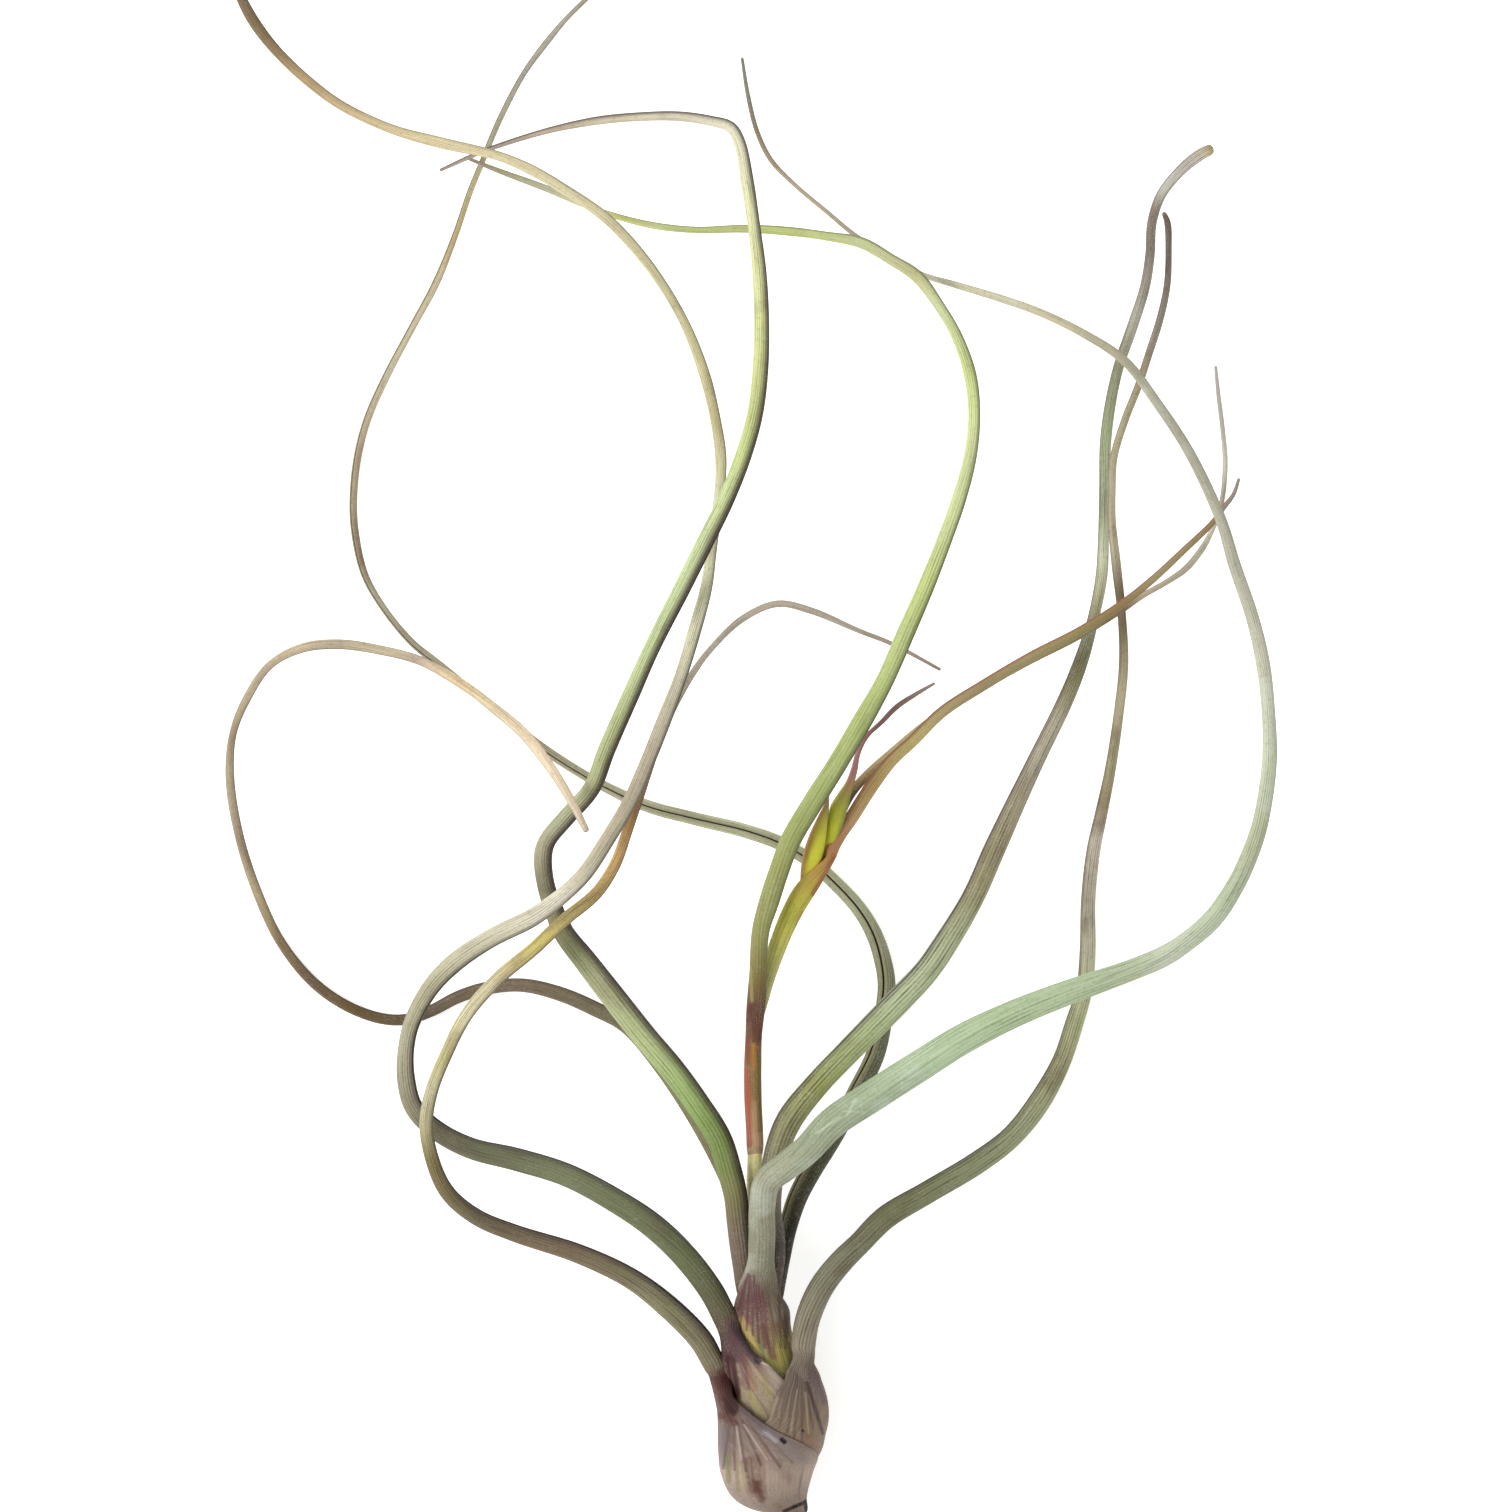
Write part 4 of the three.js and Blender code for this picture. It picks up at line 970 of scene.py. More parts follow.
LEAF_2 = Leaf(
    node="leaf_2", slot="leaf_grey",
    sheath=(
        (2.1, -11.0, 10.8, 2.6, 165), (1.2, -9.8, 10.7, 3.7, 165), (0.2, -7.0, 10.6, 5.2, 165),
        (-0.1, -3.0, 10.6, 6.8, 165), (0.1, 1.0, 10.7, 7.6, 160), (0.1, 5.0, 10.9, 8.6, 140),
        (-0.4, 9.0, 11.1, 9.4, 112), (-0.8, 12.5, 11.5, 9.2, 86), (-1.5, 15.5, 12.1, 8.6, 70),
        (-3.8, 18.2, 13.4, 6.4, 64), (-7.6, 21.5, 15.1, 3.1, 96),
    ),
    blade=(
        (-9.7, 25.1, 15.9, 2.5), (-12.1, 29.7, 17.5, 2.55), (-17.5, 36.9, 20, 2.65),
        (-23.9, 42.9, 22, 2.6), (-31.2, 47.8, 23.5, 2.5), (-41, 53, 25, 2.4), (-51.3, 56.2, 26, 2.4),
        (-60.2, 58.4, 27, 2.2), (-66.8, 61.8, 28, 2.05), (-71.5, 66.4, 30, 1.9),
        (-73.1, 72.1, 32, 1.85), (-73.1, 78.2, 34.5, 1.65), (-71.8, 83.8, 37, 1.65),
        (-68.2, 90.4, 40, 1.8), (-63.2, 95.6, 43, 1.95), (-56.4, 100.2, 45.5, 1.9),
        (-47.7, 104.6, 47.5, 1.9), (-42.2, 108.6, 48.5, 1.65), (-37.4, 113.2, 49.5, 1.6),
        (-33.1, 119.6, 50, 1.55), (-28.5, 127.4, 50, 1.5), (-24.7, 135.9, 50, 1.5),
        (-21.6, 143.7, 49.5, 1.5), (-18.1, 152.9, 49, 1.3), (-15.4, 161.8, 48, 1.35),
        (-13.1, 170.4, 47, 1.25), (-12, 178.2, 46, 1.1), (-10.4, 190, 45.5, 1.1),
        (-10.2, 196.6, 45, 1.2), (-11.3, 204.3, 45, 1.1), (-13.4, 212.9, 45.5, 1.15),
        (-17.2, 222.8, 46, 1.0), (-22.4, 231.8, 45.5, 1.0), (-28.4, 239.5, 45, 1.1),
        (-33.8, 244.8, 44, 1.1), (-41.6, 250.1, 42, 1.1), (-47.9, 253.8, 41, 1.1),
        (-54.4, 256.6, 39.5, 1.0), (-66.2, 259.4, 35, 1.2), (-76, 262.2, 30, 1.0),
        (-85.8, 266.8, 26, 1.0), (-92.4, 271.6, 22, 1.05), (-99.4, 278.3, 18, 1.1),
        (-104, 284.4, 15, 1.2), (-106.8, 289.9, 13, 1.05), (-110, 299, 9.5, 0.9), (-113.4, 311, 5, 0.7),
        (-115.6, 323, 1.8, 0.5), (-116, 331, 0.8, 0.35),
    ),
    rolls=((0, -70), (9, -68), (11, -70), (14, -98), (18, -98), (20, -106), (23, -108),
           (27, -96), (31, -96), (34, -104), (38, -95), (44, -92), (59, -90)),
    finish=LeafFinish(
        colours=(
            (0, "7d6e5e"), (4, "ab977a"), (6, "a69478"), (7.4, "a18875"), (8.3, "5f4344"),
            (9.4, "50383a"), (10.4, "5c4a3c"), (11.6, "5e5d41"), (13, "646b48"), (16, "767b5a"),
            (18, "74745a"), (19, "625c46"), (20, "8c866e"), (22, "a7a288"), (24, "aca787"),
            (26, "cbc5aa"), (28, "ddd7c2"), (29, "bdb69c"), (31, "b2a78e"), (33, "bcb29b"),
            (35, "dbd8b8"), (38, "d0cfaa"), (40, "c0b588"), (41, "cbc496"), (43, "c8c197"),
            (46, "d6cca4"), (49, "d8c99e"), (52, "b29a70"), (53, "86704a"), (55, "705c44"),
            (59, "5d4c3c"),
        ),
        groove=("4e4434", 0.5), rim_and_shade=("3a3036", 0.6), channel="665e54", scurf=0.14, fan=0.35,
        seed=2.0,
        marks=(
            Mark((0.0, 12.6), (2.0, 8.8), 1.7, "a79c92", 0.55, Edge.STAIN),
            # Painted shade: the dark red-brown hollow between leaf_1 and leaf_2, under leaf_1's edge
            Mark((-8.6, 15.4), (-7.2, 8.0), 2.1, "35141a", 1.0, Edge.STAIN),
            Mark((-8.6, 23.0), (-7.0, 15.0), 1.2, "5a3a3e", 0.7, Edge.STAIN),
            # Painted shade: more of the hollow under leaf_1's edge
            Mark((-8.4, 14.8), (-7.4, 8.4), 1.3, "3a1619", 0.95),
            Mark((-6.6, 18.6), (-5.2, 9.6), 1.0, "5f4044", 0.6),
            Mark((-5.5, 15.4), (-4.3, 7.4), 0.55, "6e4840", 0.65),
            Mark((-4.4, 12.8), (-3.6, 8.8), 0.6, "865740", 0.55),
            Mark((-3.4, 11.6), (-2.8, 7.6), 0.3, "7e6248", 0.5),
            Mark((-7.6, 21.8), (-2.7, 14.7), 1.25, "33222f", 0.95, Edge.STAIN),
            Mark((-1.7, 11.8), (-0.6, 8.2), 0.4, "8b8542", 0.6),
            Mark((-4.4, 8.4), (-2.4, 4.0), 0.7, "9b954f", 0.55),
            Mark((-2.0, 14.4), (2.4, 12.7), 0.35, "cfc9be", 0.5),
        ),
    ),
)

LEAF_3 = Leaf(
    node="leaf_3", slot="leaf_green", wall=1.2,
    sheath=nested_sheath(135),
    blade=(
        (-3.35, 20, 15.1, 1.65), (-4.3, 26, 15.9, 1.8), (-5.2, 30, 15.5, 1.95), (-5.8, 35, 16.8, 2.1),
        (-6.2, 39, 18.6, 2.3), (-6.7, 43.6, 20.9, 2.35), (-7.2, 48.8, 23, 2.45),
        (-8.4, 53.8, 24.5, 2.6), (-10.5, 60.4, 26, 2.6), (-14.6, 67, 27.5, 2.6), (-19.8, 74.2, 29, 2.6),
        (-25.4, 80.8, 30, 2.6), (-31.3, 88.3, 31, 2.6), (-37.1, 95.8, 31.5, 2.45),
        (-41.5, 101.5, 32, 2.2), (-43.5, 106.1, 32, 2), (-45.2, 111.4, 32.5, 1.85),
        (-45.7, 117, 33, 1.9), (-44.8, 119.9, 33.5, 1.8), (-41.1, 124.4, 35, 1.8),
        (-36, 130.3, 37, 1.8), (-33, 137.9, 40, 1.8), (-28.2, 148.8, 45, 1.75),
        (-23.8, 158.6, 49.5, 1.65), (-17.8, 170.4, 54, 1.75), (-12.6, 180.8, 57, 1.75),
        (-9.1, 187.9, 58.5, 1.7), (-5.7, 196.5, 60, 1.7), (-3.3, 205, 61, 1.65),
        (-2.2, 214.2, 61.5, 1.65), (-2, 222.8, 61.5, 1.6), (-2.4, 232.6, 61, 1.5), (-3.6, 243, 60, 1.3),
        (-4.9, 251.4, 58, 1.4), (-6.4, 259.1, 55, 1.25), (-8.2, 262.2, 53, 1.2),
        (-12.1, 263.5, 50, 1.1), (-18.4, 264.5, 46, 1.05), (-26.4, 264.5, 41, 0.95),
        (-34.8, 263.8, 36, 0.9), (-44.6, 261.9, 31, 0.65), (-55.6, 258.6, 25.5, 0.5),
        (-61.2, 256.4, 22, 0.45), (-66.6, 254, 19, 0.32),
    ),
    rolls=((0, -45), (5, -45), (9, -72), (13, -86), (17, -88), (20, -92), (23, -96),
           (27, -96), (31, -104), (36, -90), (49, -90)),
    finish=LeafFinish(
        colours=(
            (0, "6a5548"), (7, "6a5048"), (9, "7d6a5e"), (10.5, "7c695c"), (11.6, "7b7152"),
            (12.6, "7f8050"), (13.6, "788a4a"), (14.6, "849b52"), (15.6, "9bb06e"), (17, "b4be88"),
            (18.4, "a6a780"), (19.4, "8f9268"), (20.6, "857f60"), (22, "76735a"), (23.4, "a49e84"),
            (25, "aaaa8a"), (27, "abb180"), (29, "bbc792"), (31, "c5d09c"), (33, "c4d08c"),
            (34, "bec482"), (36, "d0d492"), (38, "d8d8a6"), (40, "dad6ba"), (42, "d6cdb8"),
            (44, "cfc4ac"), (46, "b8a894"), (49, "a89890"),
        ),
        groove=("465230", 0.5), streak=("4f5a38", 0.4), rim_and_shade=("40302e", 0.95), rim_shade_from=0.5,
        channel="54443f", scurf=0.16, seed=3.0,
    ),
)

LEAF_4 = Leaf(
    node="leaf_4", slot="leaf_dry", wall=1.2,
    sheath=nested_sheath(225),
    blade=(
        (-3.35, 20, 11.4, 1.6), (-4.3, 26, 11.7, 1.7), (-4.9, 30, 10.9, 1.7), (-4.9, 36, 11.2, 1.7),
        (-5.8, 43, 11.2, 1.7), (-8, 50, 10.8, 1.7), (-14, 62, 9.5, 1.65), (-22.4, 74.8, 8.5, 1.55),
        (-29.4, 82.8, 7.5, 1.5), (-35.2, 86, 7, 1.55), (-42.7, 89.2, 6.2, 1.5), (-50.4, 90.9, 5.2, 1.4),
        (-58, 90.1, 4.2, 1.35), (-63.2, 88.4, 3.4, 1.3), (-68.2, 85.8, 2.5, 1.25),
        (-73.4, 84, 1.8, 1.15), (-78.5, 84.2, 1.3, 1.15), (-85.5, 86.8, 1.12, 1.12),
        (-92.2, 91.6, 1.15, 1.1), (-98.6, 99.6, 1.8, 1.0), (-103.3, 109.7, 3.5, 1),
        (-106.8, 120.8, 6.5, 0.95), (-108.6, 132.4, 11, 0.95), (-108, 141, 14.5, 0.8),
        (-105.2, 148.1, 18.5, 0.9), (-100.4, 155, 22.5, 0.85), (-93.8, 158.4, 26, 1),
        (-86.6, 159.1, 28.5, 1.05), (-78.6, 158, 30.5, 1), (-70.3, 155.8, 32, 0.95),
        (-62.4, 151.4, 33.5, 1.0), (-55.8, 146.6, 35.5, 1.0), (-49.4, 141, 38, 1.15),
        (-44.2, 134.4, 41.5, 1.05), (-40.2, 128, 45, 0.9), (-36.9, 121.6, 48.2, 0.65),
    ),
    rolls=((0, -135), (5, -135), (9, -120), (15, -100), (20, -95), (26, -95), (41, -80)),
    finish=LeafFinish(
        colours=(
            (0, "6a5548"), (11, "7c7656"), (13, "86875a"), (15, "7b7258"), (17, "796a56"),
            (18.4, "75664f"), (19.4, "6c5f4c"), (20.4, "5b4d3a"), (22, "62502f"), (23, "6b5533"),
            (24, "6c5842"), (25, "8a7655"), (26, "b09f7c"), (27, "a5907a"), (28, "afa388"),
            (29, "a28f74"), (30, "b6a88a"), (32, "c9b898"), (33, "b3a58c"), (34, "c4b898"),
            (35, "d0bca4"), (36, "efd7a8"), (37.5, "f2deb8"), (39, "eed8ba"), (41, "d6c8ac"),
        ),
        groove=("382b1e", 0.65), rim_and_shade=("3a2c24", 0.5), scurf=0.16, seed=4.0,
    ),
)

LEAF_5 = Leaf(
    node="leaf_5", slot="leaf_green", wall=1.2,
    sheath=nested_sheath(315),
    blade=(
        (0.35, 20, 11.4, 1.65), (0.1, 26, 11.7, 1.8), (0.7, 30, 10.9, 1.85), (1.8, 36, 11.3, 1.85),
        (3.2, 42.4, 11.2, 1.85), (5.1, 48.3, 11, 2), (7.7, 53.3, 10.2, 2.05), (12.2, 60.4, 8.8, 1.95),
        (17.4, 70, 7, 1.95), (20.8, 77.2, 5.8, 1.9), (22.4, 84.8, 4.8, 1.85), (23, 91, 4, 1.8),
        (22.2, 96, 3.4, 1.75), (20.4, 101.2, 2.9, 1.65), (17.4, 106.2, 2.4, 1.55),
        (12.2, 111.8, 2.0, 1.45), (7.6, 115.8, 1.9, 1.42), (1.6, 119.3, 1.9, 1.4),
        (-5.5, 121.8, 2.1, 1.4), (-15.4, 124.2, 3.5, 1.3), (-25.1, 126.8, 6, 1.25),
        (-32.2, 130, 8.5, 1.1), (-38, 133.2, 10.5, 1.0), (-46, 138.4, 12.5, 1), (-55, 145.6, 13, 0.85),
        (-66.8, 155.2, 12, 0.8), (-72.1, 159.5, 10.5, 0.75), (-77.4, 165.8, 8.5, 0.7),
        (-81.6, 173, 6, 0.75), (-83.6, 181.4, 3.5, 0.8), (-84, 188, 2.2, 0.8), (-83.2, 196.6, 1.3, 0.8),
        (-81.2, 204.4, 0.85, 0.8), (-77.4, 213, 0.85, 0.78), (-72.2, 222.8, 1.6, 0.75),
        (-67.4, 231.7, 3.5, 0.8), (-63.6, 241, 7, 0.65), (-60.4, 250.2, 11, 0.62),
        (-58, 256, 13.5, 0.6), (-56.4, 260, 15.2, 0.6), (-53.8, 265.8, 18, 0.6),
        (-49.6, 273.5, 22, 0.58), (-45.4, 279.2, 25, 0.65), (-41, 284.4, 28, 0.52),
        (-36.4, 289, 30.5, 0.5), (-32, 295, 33, 0.45), (-28, 303, 35.5, 0.4), (-26, 312, 36.5, 0.32),
    ),
    rolls=((0, 135), (5, 135), (9, 128), (13, 126), (16, 150), (19, 176), (24, 184),
           (28, 170), (34, 140), (53, 110)), lips=174.0,
    finish=LeafFinish(
        colours=(
            (0, "4a4030"), (8, "3c3626"), (10, "2a2818"), (11, "44402c"), (12, "45452c"),
            (13, "5b5e42"), (15, "5e6146"), (17, "7a7c60"), (18.4, "95957a"), (20, "acb491"),
            (21.5, "a8a98c"), (23, "b6b794"), (24, "ccd0b0"), (25, "bcbc9a"), (26.5, "c0bea0"),
            (28, "aeab90"), (29.5, "aba086"), (32, "a59c86"), (33.4, "a9a188"), (34.4, "88705a"),
            (36, "ab9a80"), (37.5, "bfad92"), (39, "d2c8ac"), (41, "cfc3a0"), (42, "bea678"),
            (43.4, "c8be92"), (45, "b6ae90"), (47, "a5a094"), (49, "b2aa9a"), (53, "a39a88"),
        ),
        groove=("18180f", 0.55), channel="7a6c56", rim_and_shade=("9a9474", 0.5), scurf=0.28, seed=5.0,
    ),
)

LEAF_6 = Leaf(
    node="leaf_6", slot="leaf_grey",
    sheath=(
        (1.4, -8.4, 10.8, 2.5, 160), (0.7, -7.0, 10.7, 3.6, 160), (0.1, -4.0, 10.7, 4.75, 162),
        (0.0, 0.0, 10.8, 5.9, 162), (0.0, 5.0, 11.0, 6.7, 150), (-0.2, 10.0, 11.4, 7.1, 140),
        (-0.7, 15.0, 12.2, 6.6, 125), (-1.1, 18.5, 12.9, 5.9, 115), (-1.7, 22.5, 13.8, 5.5, 103),
        (-2.1, 26.0, 14.8, 5.6, 90), (-2.7, 29.6, 17.2, 4.6, 68), (-2.7, 31.4, 18.7, 4.1, 76),
        (-2.4, 33.4, 20.4, 3.2, 100),
    ),
    blade=(
        (-2.2, 35.6, 22, 2.7), (-2, 41, 25, 2.7), (-2, 46.2, 27.4, 2.65), (-1, 51.6, 30.5, 2.75),
        (2.8, 54.8, 33, 2.9), (7, 58.2, 36, 2.95), (11.9, 63.4, 39, 3.1), (19.7, 68.7, 43, 3.15),
        (27.8, 73.9, 46.5, 3.15), (37.8, 80.2, 50.5, 3.05), (48, 85.3, 53.5, 2.75),
        (58.3, 89.4, 55, 2.5), (71.8, 94.2, 54, 2.15), (78, 96.8, 52.5, 2.1), (81.6, 99, 51, 2),
        (87.8, 104.2, 48, 2), (92.6, 111.2, 45, 1.85), (95.8, 118.1, 42.5, 1.75),
        (97.7, 124.1, 40.5, 1.65), (99.4, 135.8, 37.5, 1.55), (99.2, 145.6, 36.5, 1.4),
        (98.1, 155.4, 36.5, 1.45), (96, 164.4, 38, 1.35), (92.4, 174.9, 41, 1.3),
        (89.6, 184, 43.5, 1.15), (83.4, 197.2, 46.5, 1.05), (77, 207, 48, 1.0), (70.4, 215.6, 48, 0.95),
        (62.2, 221.1, 46.5, 0.85), (53.4, 225.4, 43.5, 0.8), (45.6, 228.2, 39.5, 0.8),
        (36.9, 230.9, 35.5, 0.7), (29.2, 233.4, 32, 0.55), (17.4, 240.4, 28.5, 0.5),
        (10.8, 245.8, 27.5, 0.45), (4.4, 251.2, 28, 0.45), (-0.2, 256, 29.5, 0.52),
        (-3, 261.7, 32, 0.5), (-4.8, 268.9, 35, 0.45), (-6, 276.4, 38.5, 0.31),
    ),
    rolls=((0, 0), (14, 0), (19, -20), (25, -50), (31, -80), (52, -80)),
    finish=LeafFinish(
        colours=(
            (0, "8d8455"), (3, "a99c62"), (5, "aa9c58"), (6.6, "9d904c"), (7.5, "92784e"),
            (8.4, "7b524c"), (9.4, "6c4644"), (10.4, "7a5f59"), (11.4, "857768"), (13, "84806b"),
            (15, "8f8c75"), (16.4, "9b9a83"), (18, "989e83"), (20, "98a686"), (21.4, "adc09c"),
            (23, "a6b990"), (25, "b4c09e"), (26, "cbd2b9"), (28.4, "bac6a6"), (30, "b3b898"),
            (32, "c0c6a6"), (34, "c8c6b0"), (36, "bcb8a4"), (38, "aca894"), (40, "a9a28a"),
            (42, "c7bd9c"), (44, "cdc8aa"), (46, "bcac9b"), (48, "bcac94"), (50, "96846c"),
            (52, "8a8880"),
        ),
        groove=("55603f", 0.45), rim_and_shade=("6b6a5c", 0.5), streak=("63705a", 0.4),
        blotch=("cdd6c8", 0.35), scurf=0.3, fan=0.5, seed=6.0,
        marks=(
            Mark((-6.0, 22.8), (-2.8, 15.8), 1.2, "c2ae68", 0.75, Edge.STAIN),
            Mark((-1.8, 21.4), (0.2, 15.4), 1.2, "683d34", 0.75, Edge.STAIN),
            Mark((1.6, 18.8), (2.2, 13.6), 1.1, "918a44", 0.6, Edge.STAIN),
            Mark((3.0, 27.0), (3.0, 20.0), 0.9, "3c2f26", 0.75, Edge.STAIN),
            Mark((0.2, 32.0), (0.6, 24.0), 1.5, "87806a", 0.6, Edge.STAIN),
            Mark((-4.8, 32.2), (-6.7, 25.0), 0.5, "583439", 0.75),
            Mark((-5.6, 28.8), (-6.2, 22.6), 0.4, "643b42", 0.65),
            Mark((-4.4, 31.8), (-5.1, 21.0), 0.4, "5c3640", 0.75),
            Mark((-4.0, 30.6), (-3.8, 20.0), 0.35, "61393f", 0.7),
            Mark((-3.6, 31.8), (-2.6, 18.4), 0.4, "5a343c", 0.75),
            Mark((-2.9, 30.2), (-1.4, 17.4), 0.4, "5e3840", 0.7),
            Mark((-1.9, 28.6), (-0.5, 17.2), 0.4, "66423f", 0.7),
            Mark((-0.6, 27.2), (0.6, 18.2), 0.4, "66503f", 0.65),
            Mark((1.3, 28.0), (1.8, 17.6), 0.4, "5e5038", 0.65),
            Mark((2.6, 26.4), (2.7, 17.4), 0.5, "554a34", 0.65),
            Mark((-4.6, 33.4), (-6.9, 29.2), 0.35, "b4a79c", 0.45),
            Mark((14.9, 64.2), (16.7, 67.4), 0.35, "c9d6c6", 0.35, Edge.STAIN),
            Mark((14.2, 65.0), (18.6, 64.8), 0.3, "c9d6c6", 0.3, Edge.STAIN),
            Mark((8.8, 60.6), (13.6, 63.8), 0.35, "c3cdbb", 0.45),
            Mark((3.6, 55.6), (7.4, 60.2), 0.35, "6e7460", 0.5),
        ),
    ),
)

LEAF_7 = Leaf(
    node="leaf_7", slot="leaf_grey", wall=1.2,
    sheath=nested_sheath(45),
    blade=(
        (0.35, 20, 15.1, 1.65), (0.2, 26, 15.9, 1.8), (-0.1, 30, 15.3, 1.9), (0.6, 36, 16.1, 2.0),
        (0.4, 41, 18.4, 2.1), (-0.3, 46, 21, 2.15), (-0.2, 51, 23, 2.3), (0.8, 57.4, 25, 2.5),
        (3.4, 64, 26.5, 2.7), (9.1, 71.3, 28, 2.55), (15.8, 78.3, 29.5, 2.55), (23.1, 85.7, 30, 2.7),
        (30.6, 93.5, 29.5, 2.6), (34.4, 98.9, 28.5, 2.55), (40.1, 108.4, 26.5, 2.3),
        (44.4, 118, 24, 2.25), (48.6, 127.1, 21.5, 2), (53.3, 136.9, 19.5, 1.75),
        (58.5, 147.5, 18, 1.65), (61.7, 155.4, 17, 1.5), (64.2, 163.8, 16, 1.2), (66, 173, 15.5, 1.25),
        (66.4, 181.4, 15.5, 1.15), (66.6, 190, 15.5, 1.15), (66.8, 199.8, 16, 1.2),
        (67.8, 207.6, 16.5, 1.15), (69.4, 214.8, 17, 1.1), (72.1, 222.7, 18.5, 1.15),
        (74.6, 230.6, 21, 1.05), (75.6, 237, 23.5, 1), (76, 243.6, 26, 1), (77.9, 249.2, 28.5, 1.05),
        (82.1, 254.3, 31, 1.15), (85.7, 257.1, 32.5, 1.25), (88.2, 258.3, 33.5, 1.1),
    ),
    rolls=((0, 45), (5, 45), (9, 70), (13, 100), (18, 104), (24, 100), (40, 92)),
    finish=LeafFinish(
        colours=(
            (0, "6a5548"), (10, "524a44"), (12, "87806c"), (13.4, "918e6a"), (15, "959a5a"),
            (16, "a9b77e"), (17.4, "b2bd96"), (19, "b2ba93"), (20, "9b9670"), (21.4, "9a9070"),
            (22.6, "aba28e"), (23.6, "b2aa92"), (24.6, "87825c"), (25.6, "868668"), (26.4, "b9b48f"),
            (27.4, "d4d8ba"), (28.6, "aab08e"), (30, "b0bb92"), (32, "a0a280"), (33.2, "bab7a5"),
            (34.4, "a0968a"), (35.4, "84796e"), (36.4, "8f8374"), (37.2, "c5c4b5"), (38.4, "bdb4aa"),
            (39.2, "cbc0aa"), (40, "c2b080"),
        ),
        groove=("3f3a24", 0.8), streak=("55443c", 0.5), rim_and_shade=("4a4240", 0.5), scurf=0.3, seed=7.0,
    ),
)

